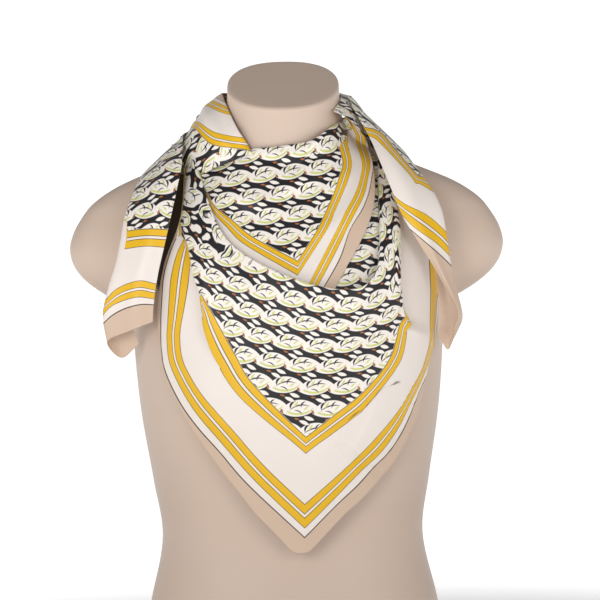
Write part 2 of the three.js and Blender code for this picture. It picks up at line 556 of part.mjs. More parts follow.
const form = torsoForm();
const inner = frontPanel("front_inner", INNER_LINES, INNER_STANDOFF, TUCK_PLACES, [], ...GRIDS.inner, []);
const tuck = frontPanel(
  "front_tuck", TUCK_LINES, TUCK_STANDOFF, TUCK_PLACES, TUCK_FOLDS, ...GRIDS.tuck, [inner],
);
const drape = frontPanel(
  "front_drape", DRAPE_SWAGS, DRAPE_STANDOFF, DRAPE_PLACES, DRAPE_FOLDS, ...GRIDS.drape, [inner, tuck],
);
const collarLeft = neckBand(
  "collar_left", COLLAR_LEFT, PLEATS.collarLeft, ...GRIDS.collarLeft, [tuck, drape],
);
const collarRight = neckBand(
  "collar_right", COLLAR_RIGHT, PLEATS.collarRight, ...GRIDS.collarRight, [tuck],
);
const napeUnder = neckBand("nape_under", NAPE_UNDER, PLEATS.napeUnder, ...GRIDS.nape, []);
const napeOver = neckBand("nape_over", NAPE_OVER, PLEATS.napeOver, ...GRIDS.nape, [napeUnder, collarLeft]);
const endLeft = hangingEnd(
  "end_left", END_LEFT, PLEATS.endLeft, ...GRIDS.endLeft, [drape, collarLeft, tuck],
);
const endRight = hangingEnd(
  "end_right", END_RIGHT, PLEATS.endRight, ...GRIDS.endRight, [drape, collarRight, tuck],
);

const scarf = new THREE.Group();
scarf.name = "silk_scarf_on_torso_form";
scarf.add(form, inner, tuck, drape, collarLeft, collarRight, napeUnder, napeOver, endLeft, endRight);

export default scarf;
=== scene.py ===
# %% [markdown]
# # A silk square, worn point-down round the neck of an armless form
# The real thing is one square of printed silk twill, folded corner to corner, hung over the
# chest and crossed behind the neck, so that its two ends come forward over the shoulders.
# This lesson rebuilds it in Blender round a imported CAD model, which is loaded first and never
# changed. Each stretch of cloth becomes a thin sheet that keeps the flat cloth's own
# coordinates, so border stripes and print follow the folds as they do on woven silk.

# %% Load the fixed frame
import math

import bmesh
import bpy
import numpy as np
from mathutils import Matrix, Vector
from mathutils.bvhtree import BVHTree


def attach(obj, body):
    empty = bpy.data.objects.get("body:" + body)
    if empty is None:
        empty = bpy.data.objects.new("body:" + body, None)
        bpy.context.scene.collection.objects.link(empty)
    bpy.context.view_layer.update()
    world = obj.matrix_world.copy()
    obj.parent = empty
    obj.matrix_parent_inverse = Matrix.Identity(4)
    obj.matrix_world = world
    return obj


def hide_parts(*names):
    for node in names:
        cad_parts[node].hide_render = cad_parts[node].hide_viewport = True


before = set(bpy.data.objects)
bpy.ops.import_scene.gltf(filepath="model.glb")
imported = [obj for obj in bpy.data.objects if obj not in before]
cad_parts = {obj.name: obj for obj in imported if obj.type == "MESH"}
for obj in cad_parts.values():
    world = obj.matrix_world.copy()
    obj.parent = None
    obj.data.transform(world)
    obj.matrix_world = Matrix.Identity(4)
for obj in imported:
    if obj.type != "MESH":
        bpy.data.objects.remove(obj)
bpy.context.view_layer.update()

MM = 0.001
print("CAD nodes:", sorted(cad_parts))

# %% [markdown]
# ## The camera
# The picture was taken from far away with a long lens, a little above the chest. The camera
# comes first, because some lines on the cloth were measured in the picture, in pixels of its
# 600 by 600 frame, and the same camera turns them back into places on the object.

# %% Camera at the picture's viewing angle
PICTURE = 600
MM_PER_PIXEL = 1.05
DISTANCE = 4500.0
ELEVATION = math.radians(4.0)
ROLL = math.radians(1.23)
TARGET = (13.0, 0.0, 436.0)
SENSOR = 36.0


def place_camera():
    camera = bpy.data.cameras.new("picture_camera")
    camera.sensor_width = SENSOR
    camera.lens = SENSOR * DISTANCE / (MM_PER_PIXEL * PICTURE)
    camera.clip_end = 2000
    eye = Vector(TARGET) + DISTANCE * Vector((0, -math.cos(ELEVATION), math.sin(ELEVATION)))
    holder = bpy.data.objects.new("picture_camera", camera)
    turn = Matrix.Rotation(math.pi / 2 - ELEVATION, 4, "X") @ Matrix.Rotation(-ROLL, 4, "Z")
    holder.matrix_world = Matrix.Translation(eye * MM) @ turn
    bpy.context.scene.collection.objects.link(holder)
    bpy.context.scene.camera = holder
    return camera


def picture_of(points):
    """Pixel places of points of the object in the 600 by 600 picture."""
    x, y, z = (points[..., k] - TARGET[k] for k in range(3))
    up = z * math.cos(ELEVATION) + y * math.sin(ELEVATION)
    depth = y * math.cos(ELEVATION) - z * math.sin(ELEVATION)
    scale = DISTANCE / (DISTANCE + depth) / MM_PER_PIXEL
    right = (x * math.cos(ROLL) - up * math.sin(ROLL)) * scale
    rise = (x * math.sin(ROLL) + up * math.cos(ROLL)) * scale
    return np.stack([PICTURE / 2 + right, PICTURE / 2 - rise], -1)


camera = place_camera()
print("lens", round(camera.lens, 1), "mm")

# %% [markdown]
# ## Curves through measured rows
# A drape is easiest to describe by a few rows of measured places. A Catmull-Rom curve runs
# smoothly through each column of such a table, and gives as many rows in between as wanted.


# %% Smooth reading of tables
def spline(values, where, open_ends=False):
    """Values of a Catmull-Rom curve through rows of numbers, at positions counted in rows."""
    values = np.asarray(values, float)
    where = np.asarray(where, float)
    last = len(values) - 1
    i = np.clip(where.astype(int), 0, last - 1)
    first, final = values[0], values[-1]
    if open_ends:
        first, final = 2 * values[0] - values[1], 2 * values[-1] - values[-2]
    padded = np.concatenate([[first], values, [final]])
    a, b, c, d = (padded[i + k] for k in range(4))
    w = (where - i).reshape(where.shape + (1,) * (values.ndim - 1))
    bend = (2 * a - 5 * b + 4 * c - d) * w ** 2 + (3 * b - a - 3 * c + d) * w ** 3
    return 0.5 * (2 * b + (c - a) * w + bend)


def ramp(x, low, high):
    """0 below low, 1 above high, and a soft step between."""
    t = np.clip((x - low) / (high - low), 0, 1)
    return t * t * (3 - 2 * t)


# %% [markdown]
# ## The torso form
# The form is a moulded shell: an egg-shaped chest that narrows to the waist, rounded shoulder
# ends and a neck cut off at a slant. Each level is a squared ellipse, and chest and shoulder
# sections melt into each other where they meet. The rows below repeat the CAD model's own.

# %% Levels of the form: height, half width, depth in front and behind, middle, tilt
TORSO = np.array([
    (0, 166, 102, 110, 2, 0), (60, 161, 100, 106, 1, 0), (120, 151, 97, 98, 0, 0),
    (190, 137, 94, 90, 0, 0), (250, 145, 102, 94, 0, 0), (320, 156, 114, 104, 2, 0),
    (390, 162, 120, 112, 4, 0), (440, 163, 118, 112, 8, 0), (480, 159, 110, 106, 12, 0),
    (515, 147, 98, 94, 16, 0), (545, 124, 84, 80, 18, 1), (570, 97, 72, 68, 18, 4),
    (592, 75, 64, 60, 16, 8), (615, 63, 60, 57, 12, 13), (640, 59, 59, 57, 7, 19),
    (660, 58, 59, 58, 3, 22),
], float)
SHOULDER = np.array([
    (420, 100, 24), (440, 172, 44), (455, 202, 54), (472, 220, 60), (491, 227, 62),
    (508, 224, 61), (525, 215, 58), (541, 202, 54), (557, 178, 48), (572, 143, 43),
    (585, 110, 39), (600, 74, 36), (620, 50, 30), (660, 44, 28),
], float)
TORSO_SQUARENESS, SHOULDER_SQUARENESS, MEETING = 2.3, 2.6, 9
TOP = TORSO[-1, 0]


def at_height(table, column, height):
    """One column of a table of levels, by cubic steps between its rows."""
    z, value = table[:, 0], table[:, column]
    height = np.clip(height, z[0], z[-1])
    i = np.clip(np.searchsorted(z, height, side="right") - 1, 0, len(z) - 2)
    before = np.maximum(np.arange(len(z)) - 1, 0)
    after = np.minimum(np.arange(len(z)) + 1, len(z) - 1)
    slope = (value[after] - value[before]) / (z[after] - z[before])
    span = z[i + 1] - z[i]
    u = (height - z[i]) / span
    step = (value[i + 1] - value[i]) * u * u * (3 - 2 * u)
    return value[i] + step + span * (slope[i] * u * (1 - u) ** 2 - slope[i + 1] * u * u * (1 - u))


def square_ellipse(cos, sin, reach, depth, power):
    return (np.abs(cos / reach) ** power + np.abs(sin / depth) ** power) ** (-1 / power)


def form_radius(angle, height):
    cos, sin = np.cos(angle), np.sin(angle)
    side = at_height(TORSO, 1, height)
    deep = np.where(sin < 0, at_height(TORSO, 2, height), at_height(TORSO, 3, height))
    torso = square_ellipse(cos, sin, side, deep, TORSO_SQUARENESS)
    reach, depth = at_height(SHOULDER, 1, height), at_height(SHOULDER, 2, height)
    ends = square_ellipse(cos, sin, reach, depth, SHOULDER_SQUARENESS)
    both = (torso ** MEETING + ends ** MEETING) ** (1 / MEETING)
    return np.where(height < SHOULDER[0, 0], torso, both)


def middle_of(height):
    return at_height(TORSO, 4, height)


def tilt_of(height):
    return np.tan(np.radians(at_height(TORSO, 5, height)))


def ring_level(points):
    level = points[..., 2]
    for _ in range(6):
        level = points[..., 2] - (points[..., 1] - middle_of(level)) * tilt_of(level)
    return level


def outside(points):
    """How far points lie outside the form, to first order."""
    level = ring_level(points)
    y = points[..., 1] - middle_of(level)
    return np.hypot(points[..., 0], y) - form_radius(np.arctan2(y, points[..., 0]), level)


def gap_and_normal(points, step=1.5):
    slopes = [(outside(points + step * axis) - outside(points - step * axis)) / (2 * step)
              for axis in np.eye(3)]
    slope = np.stack(slopes, -1)
    steep = np.linalg.norm(slope, axis=-1)
    return outside(points) / np.maximum(steep, 0.3), slope / np.maximum(steep, 1e-9)[..., None]


def clear_of_form(points, gap_wanted):
    """Moves points out along the form's normal until they clear it."""
    points = points.copy()
    for _ in range(4):
        gap, normal = gap_and_normal(points)
        short = np.where(ring_level(points) > TOP, 0, np.maximum(gap_wanted - gap, 0))
        points += normal * short[..., None]
    return points


def form_front(x, z):
    """Depth of the form's front surface behind a place on the picture plane."""
    near, far = np.full(x.shape, -200.0), middle_of(z)
    edge = outside(np.stack([x, far, z], -1)) > 0
    result = far.copy()
    for _ in range(18):
        half = (near + far) / 2
        out = outside(np.stack([x, half, z], -1)) > 0
        near, far = np.where(out, half, near), np.where(out, far, half)
    return np.where(edge, result, far)


# %% [markdown]
# ## Meshes from grids
# A sheet of cloth is a grid of points. Two UV maps in metres tell the shader where each point
# lies on the flat square: its distances from two neighbouring hems, for the striped border, and
# its place on the cloth spread out flat, for the print. So folds carry the drawing along.


# %% Grid to mesh, with its places on the flat cloth as UV maps
def grid_mesh(name, points, flat=None, close_across=False):
    rows, columns = points.shape[:2]
    wrap = columns if close_across else columns - 1
    i, j = np.meshgrid(np.arange(wrap), np.arange(rows - 1))
    nxt = (i + 1) % columns
    faces = np.stack([j * columns + i, (j + 1) * columns + i,
                      (j + 1) * columns + nxt, j * columns + nxt], -1).reshape(-1, 4)
    mesh = bpy.data.meshes.new(name)
    mesh.from_pydata((points.reshape(-1, 3) * MM).tolist(), [], faces.tolist())
    corners = np.empty(len(mesh.loops), int)
    mesh.loops.foreach_get("vertex_index", corners)
    for k, title in enumerate(("from_hems", "spread_flat") if flat is not None else ()):
        layer = mesh.uv_layers.new(name=title)
        places = flat.reshape(-1, 4)[corners, 2 * k:2 * k + 2] * MM
        layer.data.foreach_set("uv", places.astype(np.float32).ravel())
    mesh.polygons.foreach_set("use_smooth", np.ones(len(mesh.polygons), bool))
    piece = bpy.data.objects.new(name, mesh)
    bpy.context.scene.collection.objects.link(piece)
    return piece


def finish_piece(piece, node, material):
    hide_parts(node)
    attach(piece, "root")
    piece.data.materials.clear()
    piece.data.materials.append(material)


def area_of(points):
    """Area of a grid of points, in square metres."""
    a = points[1:, 1:] - points[:-1, :-1]
    b = points[1:, :-1] - points[:-1, 1:]
    return float(np.linalg.norm(np.cross(a, b), axis=-1).sum()) / 2 * MM * MM


# %% [markdown]
# ## Spreading a curved sheet out flat
# Cloth hardly stretches, so a print keeps its scale in every fold. To find each point's place
# on the flat cloth, the sheet is laid on a plane and springs between neighbouring points pull
# until all distances agree with those on the curved sheet.


# %% Springs that spread a sheet flat
def resample(grid, rows, columns):
    grid = spline(grid, np.linspace(0, len(grid) - 1, rows), open_ends=True).transpose(1, 0, 2)
    return spline(grid, np.linspace(0, len(grid) - 1, columns), open_ends=True).transpose(1, 0, 2)


def spread_flat(surface, rounds=500, every=4):
    """Place of each point of a sheet on the flat cloth, in millimetres: across and down."""
    rows, columns = surface.shape[:2]
    coarse = resample(surface, max(rows // every, 6), max(columns // every, 6))
    middle_column = coarse.shape[1] // 2
    steps = np.linalg.norm(np.diff(coarse, axis=1), axis=-1)
    across = np.concatenate([np.zeros((len(coarse), 1)), np.cumsum(steps, 1)], 1)
    across -= across[:, middle_column:middle_column + 1]
    down = np.linalg.norm(np.diff(coarse[:, middle_column], axis=0), axis=-1)
    down = np.concatenate([[0], np.cumsum(down)])[:, None] * np.ones(coarse.shape[1])
    place = np.stack([across, down], -1)
    whole, most, rest = slice(None), slice(None, -1), slice(1, None)
    springs = [((whole, most), (whole, rest)), ((most, whole), (rest, whole)),
               ((most, most), (rest, rest)), ((most, rest), (rest, most))]
    lengths = [np.linalg.norm(coarse[b] - coarse[a], axis=-1) for a, b in springs]
    for _ in range(rounds):
        move, count = np.zeros(place.shape), np.zeros(place.shape[:2] + (1,))
        for (a, b), length in zip(springs, lengths):
            way = place[b] - place[a]
            now = np.maximum(np.linalg.norm(way, axis=-1), 1e-6)
            pull = way * ((now - length) / now / 2)[..., None]
            move[a] += pull
            move[b] -= pull
            count[a] += 1
            count[b] += 1
        place += 1.4 * move / count
    way = place[-1, middle_column] - place[0, middle_column]
    turn = math.atan2(way[0], way[1])
    place = place @ np.array([[math.cos(turn), math.sin(turn)], [-math.sin(turn), math.cos(turn)]])
    return resample(place, rows, columns)


# %% [markdown]
# ## Node maths in plain words
# A print made of shapes needs a lot of sums on the flat coordinates. A small helper turns an
# ordinary sum into a Math node, so the pattern below reads like a drawing recipe.


# %% A helper that writes Math nodes
class Sums:
    def __init__(self, tree):
        self.tree = tree
        self.column = 0

    def node(self, kind, **settings):
        node = self.tree.nodes.new(kind)
        for key, value in settings.items():
            setattr(node, key, value)
        self.column += 1
        node.location = (40 * self.column, -180 * (self.column % 9))
        return node

    def feed(self, socket, value):
        if hasattr(value, "is_output"):
            self.tree.links.new(value, socket)
        else:
            socket.default_value = value

    def math(self, operation, *values, clamp=False):
        node = self.node("ShaderNodeMath", operation=operation, use_clamp=clamp)
        for socket, value in zip(node.inputs, values):
            self.feed(socket, value)
        return node.outputs[0]

    def add(self, a, b):
        return self.math("ADD", a, b)

    def less(self, a, b):
        return self.math("SUBTRACT", a, b)

    def times(self, a, b):
        return self.math("MULTIPLY", a, b)

    def plus_times(self, a, b, c):
        return self.math("MULTIPLY_ADD", a, b, c)

    def smaller(self, a, b):
        return self.math("MINIMUM", a, b)

    def larger(self, a, b):
        return self.math("MAXIMUM", a, b)

    def inside(self, distance, softness):
        """1 where a distance is below zero, 0 above, with a thin soft edge."""
        return self.math("MULTIPLY_ADD", distance, -1 / softness, 0.5, clamp=True)

    def mix(self, share, under, over):
        node = self.node("ShaderNodeMix", data_type="RGBA")
        self.feed(node.inputs[0], share)
        self.feed(node.inputs[6], under)
        self.feed(node.inputs[7], over)
        return node.outputs[2]


def srgb(red, green, blue):
    """Linear colour of a tone given in 0 to 255 steps."""
    def linear(c):
        c /= 255
        return c / 12.92 if c <= 0.04045 else ((c + 0.055) / 1.055) ** 2.4
    return (linear(red), linear(green), linear(blue), 1.0)


# %% [markdown]
# ## Silk with its printed border and pattern
# From the hem inwards the cloth has a beige edge, a thin dark line, two sets of twin yellow
# stripes on a cream ground, and then the patterned field. The pattern here is a plain leaf
# print: rows of plump cream leaves on near-black, every second row half a step over, with
# leaf-green edges, dark ribs and small rust buds. Every shape is what two arcs enclose.

# %% Colours of the print
CREAM = srgb(232, 222, 214)
EDGE_BEIGE = srgb(206, 180, 158)
YELLOW = srgb(228, 178, 20)
LINE = srgb(58, 46, 34)
INK = srgb(24, 22, 26)
MOTIF = srgb(240, 232, 224)
LEAF = srgb(206, 208, 128)
RUST = srgb(168, 98, 48)
ROW_HEIGHT, STEP_ALONG = 24.0, 31.0

# Leaves of one repeat: tone, middle along and down, slant in degrees, length, how far the arc
# above and the arc below bulge in millimetres; where the second is negative the leaf is hollow
LEAVES = [
    (INK, 0.5, -0.6, -16, 21, 4.0, -2.6), (INK, -6.2, -3.6, -62, 10, 3.4, -1.2),
    (INK, 4.0, -4.8, -58, 8, 2.5, -1.0), (INK, -1.0, 3.8, 24, 9, 2.0, -0.8),
    (LEAF, -3.2, -4.8, -60, 7.5, 1.3, 0.9), (LEAF, 6.8, -1.2, -40, 6.5, 1.0, 0.8),
    (MOTIF, -10.2, -9.4, 22, 11, 2.2, 1.6), (MOTIF, 10.2, 9.6, 18, 11, 1.8, 2.2),
    (RUST, 13.6, 3.0, 62, 5.0, 1.2, 1.1), (RUST, -2.2, 10.9, 10, 5.4, 1.0, 0.9),
]
BIG_LEAF = (0.0, 0.6, -12, 37, 10.2, 7.4)
GREEN_EDGE = (1.0, 1.0, -12, 28, 6.0, 5.6)
GREEN_CUT = (1.6, -0.5, -12, 28, 6.0, 4.7)

# Distances from the hem in millimetres where each tone of the border begins
BORDER = [
    (0, EDGE_BEIGE), (14.8, LINE), (15.9, CREAM),
    (22.6, LINE), (23.2, YELLOW), (29.4, LINE), (30.0, CREAM), (32.2, LINE), (32.8, YELLOW),
    (39.0, LINE), (39.6, CREAM),
    (76.4, LINE), (77.0, YELLOW), (82.8, LINE), (83.4, CREAM), (85.4, LINE), (86.0, YELLOW),
    (91.2, LINE), (91.9, MOTIF),
]
FIELD_FROM = 92.2


def leaf_distance(sums, x, y, middle_x, middle_y, degrees, length, above, below):
    """Distance in mm to a leaf between two arcs: below zero inside."""
    cos, sin = math.cos(math.radians(degrees)), math.sin(math.radians(degrees))
    x, y = sums.less(x, middle_x), sums.less(y, middle_y)
    along = sums.plus_times(x, cos, sums.times(y, sin))
    aside = sums.plus_times(y, cos, sums.times(x, -sin))
    arcs = []
    for bulge, way in ((above, 1), (below, -1)):
        radius = (length * length / 4 + bulge * bulge) / (2 * abs(bulge))
        offset = way * (radius - abs(bulge)) * (1 if bulge > 0 else -1)
        from_centre = sums.less(aside, offset)
        reach = sums.math("SQRT", sums.plus_times(along, along, sums.times(from_centre, from_centre)))
        arcs.append(sums.less(reach, radius) if bulge > 0 else sums.less(radius, reach))
    return sums.larger(*arcs)


def silk_material():
    material = bpy.data.materials.new("printed_silk_twill")
    material.use_nodes = True
    tree = material.node_tree
    sums = Sums(tree)
    shader = tree.nodes["Principled BSDF"]
    hems = sums.node("ShaderNodeUVMap", uv_map="from_hems")
    flat = sums.node("ShaderNodeUVMap", uv_map="spread_flat")
    to_hems, places = sums.node("ShaderNodeSeparateXYZ"), sums.node("ShaderNodeSeparateXYZ")
    tree.links.new(hems.outputs[0], to_hems.inputs[0])
    tree.links.new(flat.outputs[0], places.inputs[0])
    hem = sums.times(sums.smaller(to_hems.outputs[0], to_hems.outputs[1]), 1000.0)

    # border tones by distance from the nearest hem
    border = BORDER[0][1]
    for start, tone in BORDER[1:]:
        border = sums.mix(sums.math("MULTIPLY_ADD", sums.less(hem, start), 3.0, 0.5, clamp=True),
                          border, tone)

    # field: every second row of leaves lies half a step over
    along, down = sums.times(places.outputs[0], 1000.0), sums.times(places.outputs[1], 1000.0)
    row = sums.math("FLOOR", sums.math("DIVIDE", down, ROW_HEIGHT))
    odd = sums.math("FLOORED_MODULO", row, 2.0)
    shifted = sums.plus_times(odd, STEP_ALONG / 2, along)
    cell = sums.math("FLOOR", sums.math("DIVIDE", shifted, STEP_ALONG))
    x = sums.less(sums.less(shifted, sums.times(cell, STEP_ALONG)), STEP_ALONG / 2)
    y = sums.less(sums.less(down, sums.times(row, ROW_HEIGHT)), ROW_HEIGHT / 2)
    whole = leaf_distance(sums, x, y, *BIG_LEAF)
    for over in (-STEP_ALONG, STEP_ALONG):
        whole = sums.smaller(whole, leaf_distance(sums, sums.add(x, over), y, *BIG_LEAF))
    ground = sums.mix(sums.inside(whole, 0.5), INK, MOTIF)
    green = sums.larger(leaf_distance(sums, x, y, *GREEN_EDGE),
                        sums.times(leaf_distance(sums, x, y, *GREEN_CUT), -1.0))
    ground = sums.mix(sums.inside(green, 0.5), ground, LEAF)
    for tone, *leaf in LEAVES:
        ground = sums.mix(sums.inside(leaf_distance(sums, x, y, *leaf), 0.5), ground, tone)

    field = sums.math("MULTIPLY_ADD", sums.less(hem, FIELD_FROM), 3.0, 0.5, clamp=True)
    colour = sums.mix(field, border, ground)
    tree.links.new(colour, shader.inputs["Base Color"])
    shader.inputs["Roughness"].default_value = 0.42
    shader.inputs["Sheen Weight"].default_value = 0.12
    shader.inputs["Sheen Roughness"].default_value = 0.4
    shader.inputs["Specular IOR Level"].default_value = 0.4

    # the twill's fine diagonal ribs, and a faint slackness of the cloth
    ribs = sums.node("ShaderNodeTexWave", wave_type="BANDS", bands_direction="DIAGONAL")
    ribs.inputs["Scale"].default_value = 520.0
    ribs.inputs["Distortion"].default_value = 1.5
    tree.links.new(flat.outputs[0], ribs.inputs["Vector"])
    slack = sums.node("ShaderNodeTexNoise")
    slack.inputs["Scale"].default_value = 55.0
    tree.links.new(flat.outputs[0], slack.inputs["Vector"])
    height = sums.plus_times(slack.outputs[0], 3.0, ribs.outputs[1])
    bump = sums.node("ShaderNodeBump")
    bump.inputs["Strength"].default_value = 0.12
    bump.inputs["Distance"].default_value = 0.0004
    tree.links.new(height, bump.inputs["Height"])
    tree.links.new(bump.outputs[0], shader.inputs["Normal"])
    return material


silk = silk_material()
print("silk nodes:", len(silk.node_tree.nodes))

# %% [markdown]
# ## The form's skin
# The form is sprayed with a flesh-toned satin paint. Fine mottling in colour and roughness
# keeps so large a plain surface from looking like one flat tone.


# %% Satin paint for the form
def form_material():
    material = bpy.data.materials.new("satin_form_paint")
    material.use_nodes = True
    tree = material.node_tree
    sums = Sums(tree)
    shader = tree.nodes["Principled BSDF"]
    place = sums.node("ShaderNodeTexCoord")
    mottle = sums.node("ShaderNodeTexNoise")
    mottle.inputs["Scale"].default_value = 9.0
    mottle.inputs["Detail"].default_value = 4.0
    tree.links.new(place.outputs["Object"], mottle.inputs["Vector"])
    tone = sums.mix(mottle.outputs[0], srgb(199, 177, 160), srgb(208, 186, 169))
    tree.links.new(tone, shader.inputs["Base Color"])
    rough = sums.plus_times(mottle.outputs[0], 0.1, 0.42)
    tree.links.new(rough, shader.inputs["Roughness"])
    grain = sums.node("ShaderNodeTexNoise")
    grain.inputs["Scale"].default_value = 900.0
    tree.links.new(place.outputs["Object"], grain.inputs["Vector"])
    bump = sums.node("ShaderNodeBump")
    bump.inputs["Strength"].default_value = 0.05
    bump.inputs["Distance"].default_value = 0.0002
    tree.links.new(grain.outputs[0], bump.inputs["Height"])
    tree.links.new(bump.outputs[0], shader.inputs["Normal"])
    return material


skin = form_material()

# %% Build the form as a fine lathe-like skin
FORM_SIDES, FORM_RINGS, CAP_ROUND = 160, 150, 3.0


def build_form():
    angle = 2 * np.pi * np.arange(FORM_SIDES) / FORM_SIDES
    levels = spline(TORSO[:, 0], np.linspace(0, len(TORSO) - 1, FORM_RINGS))
    rings = [(level, 0.0, 0.0) for level in levels]
    rings += [(TOP, CAP_ROUND * (1 - math.cos(a)), CAP_ROUND * math.sin(a))
              for a in np.linspace(0, math.pi / 2, 6)[1:]]
    for share in (0.9, 0.6, 0.3):
        rings.append((TOP, -share, CAP_ROUND))
    points = []
    for level, shrink, lift in rings:
        radius = form_radius(angle, level)
        radius = radius - shrink if shrink >= 0 else (radius - CAP_ROUND) * -shrink
        y = radius * np.sin(angle)
        z = level + lift + y * tilt_of(level)
        points.append(np.stack([radius * np.cos(angle), middle_of(level) + y, z], -1))
    piece = grid_mesh("dress_form", np.array(points), close_across=True)
    mesh = piece.data
    shell = bmesh.new()
    shell.from_mesh(mesh)
    bmesh.ops.holes_fill(shell, edges=shell.edges[:], sides=0)
    bmesh.ops.triangulate(shell, faces=[f for f in shell.faces if len(f.verts) > 4])
    bmesh.ops.recalc_face_normals(shell, faces=shell.faces[:])
    shell.to_mesh(mesh)
    shell.free()
    finish_piece(piece, "torso_form", skin)
    return piece


dress_form = build_form()
print("form triangles:", 2 * len(dress_form.data.polygons))

# %% [markdown]
# ## How one stretch lies over another
# Real cloth rests on what is beneath it. From each point a ray is sent in along the form's
# normal: where it would start below a lower sheet, the point is lifted over it. The lift is
# spread to its neighbours, so that the sheet rises softly and not in steps.


# %% Laying one sheet over others
def surface_tree(*grids):
    points, faces = [], []
    for grid in grids:
        rows, columns = grid.shape[:2]
        start = len(points)
        points.extend(grid.reshape(-1, 3).tolist())
        i, j = np.meshgrid(np.arange(columns - 1), np.arange(rows - 1))
        corner = (j * columns + i + start).reshape(-1)
        faces.extend(np.stack([corner, corner + columns, corner + columns + 1, corner + 1], -1).tolist())
    return BVHTree.FromPolygons(points, faces)


def spread(values, reach):
    """Largest value within reach, then smoothed, on a grid."""
    def along(grid, axis, how):
        pads = [(0, 0), (0, 0)]
        pads[axis] = (reach, reach)
        wide = np.pad(grid, pads, mode="edge")
        slices = [np.take(wide, range(k, k + grid.shape[axis]), axis) for k in range(2 * reach + 1)]
        return how(slices)
    values = along(values, 0, lambda s: np.max(s, axis=0))
    values = along(values, 1, lambda s: np.max(s, axis=0))
    for _ in range(2):
        values = along(values, 0, lambda s: np.mean(s, axis=0))
        values = along(values, 1, lambda s: np.mean(s, axis=0))
    return values


def lay_over(points, beneath, gap=1.0, reach=3, search=60.0):
    tree = surface_tree(*beneath)
    _, normal = gap_and_normal(points)
    push = np.zeros(points.shape[:2])
    for j in range(points.shape[0]):
        for i in range(points.shape[1]):
            way = Vector(normal[j, i])
            start = Vector(points[j, i]) + way * search
            hit = tree.ray_cast(start, -way, search + gap + 20)
            if hit[0] is not None:
                push[j, i] = max(0.0, search - hit[3] + gap)
    return points + normal * spread(push, reach)[..., None]


# %% [markdown]
# ## Front panels
# The drape, the tucked front inside it and the part that lies on the chest are swags: curves
# that hang from side to side. A swag is measured at a few places across, and its stand-off
# from the chest says how far it balloons.

# %% Swag tables, repeated from the CAD model in millimetres: x, z at each place, top row first
DRAPE_AT = [
    [(-104, 578), (-93, 581), (-57, 502), (34, 457), (92, 471), (98, 582), (113, 572)],
    [(-109, 528), (-101, 533), (-60, 471), (32, 426), (103, 454), (111, 552), (138, 538)],
    [(-127, 477), (-99, 484), (-57, 434), (29, 393), (109, 434), (119, 502), (155, 484)],
    [(-134, 419), (-89, 422), (-49, 392), (24, 358), (99, 391), (121, 419), (155, 414)],
    [(-121, 353), (-68, 360), (-35, 343), (19, 310), (77, 335), (102, 358), (140, 351)],
    [(-81, 276), (-42, 293), (-19, 279), (15, 254), (56, 281), (74, 291), (107, 270)],
    [(-31, 213), (-12, 222), (-2, 219), (12, 212), (29, 219), (41, 221), (60, 216)],
    [(1, 187), (3, 185), (6, 183.5), (10, 183), (14, 183.5), (17, 185), (19, 187)],
]
DRAPE_OFF = [
    [10, 16, 19, 25, 24, 8, 6], [8, 15, 18, 21, 22, 14, 6], [7, 14, 15, 17, 20, 18, 7],
    [7, 11, 13, 13, 14, 15, 8], [9, 12, 13, 14, 13, 12, 9], [12, 16, 17, 18, 17, 16, 11],
    [18, 19, 20, 20, 20, 19, 18], [20, 20, 20, 20, 20, 20, 20],
]
TUCK_AT = [
    [(-84, 583), (-44, 594), (4, 599), (38, 607), (74, 629)],
    [(-88, 570), (-45, 572), (5, 578), (48, 588), (85, 605)],
    [(-87, 557), (-42, 545), (10, 545), (58, 562), (93, 572)],
    [(-77, 529), (-30, 512), (14, 508), (58, 523), (91, 536)],
    [(-60, 487), (-20, 479), (16, 478), (48, 490), (78, 504)],
    [(-29, 458), (-5, 452), (18, 448), (39, 458), (58, 470)],
    [(0, 432), (12, 430), (22, 428), (33, 432), (40, 438)],
]
TUCK_OFF = [
    [10, 9, 8, 9, 10], [11, 17, 17, 18, 16], [10, 10, 10, 14, 19], [9, 9, 10, 12, 17],
    [7, 8, 9, 10, 12], [6, 6, 6, 6, 7], [4, 4, 4, 4, 4],
]
INNER_AT = [
    [(-118, 574), (-84, 566), (-42, 566), (6, 570), (50, 576), (92, 590)],
    [(-136, 536), (-92, 536), (-46, 530), (8, 532), (58, 540), (106, 560)],
    [(-142, 508), (-92, 508), (-46, 495), (12, 492), (62, 505), (113, 525)],
    [(-142, 474), (-84, 475), (-42, 460), (16, 455), (64, 468), (115, 485)],
    [(-126, 446), (-70, 445), (-34, 430), (18, 424), (62, 436), (108, 450)],
    [(-84, 420), (-50, 415), (-22, 405), (18, 400), (54, 408), (90, 415)],
]
INNER_OFF = [
    [3, 5, 5, 5, 5, 6], [3, 6, 5, 5, 6, 10], [3, 8, 5, 5, 6, 12], [3, 8, 5, 5, 6, 12],
    [3, 6, 5, 5, 6, 9], [3, 5, 5, 5, 5, 6],
]
CLEARANCE = 2.0  # least gap between visible cloth and form


def panel_places(at, off, across, down):
    """x, z and stand-off of a panel on a fine grid, as arrays of rows by columns by three."""
    table = np.concatenate([np.array(at, float), np.array(off, float)[..., None]], -1)
    rows = spline(table, np.linspace(0, len(table) - 1, down))
    columns = np.linspace(0, table.shape[1] - 1, across)
    return spline(rows.transpose(1, 0, 2), columns, open_ends=True).transpose(1, 0, 2)


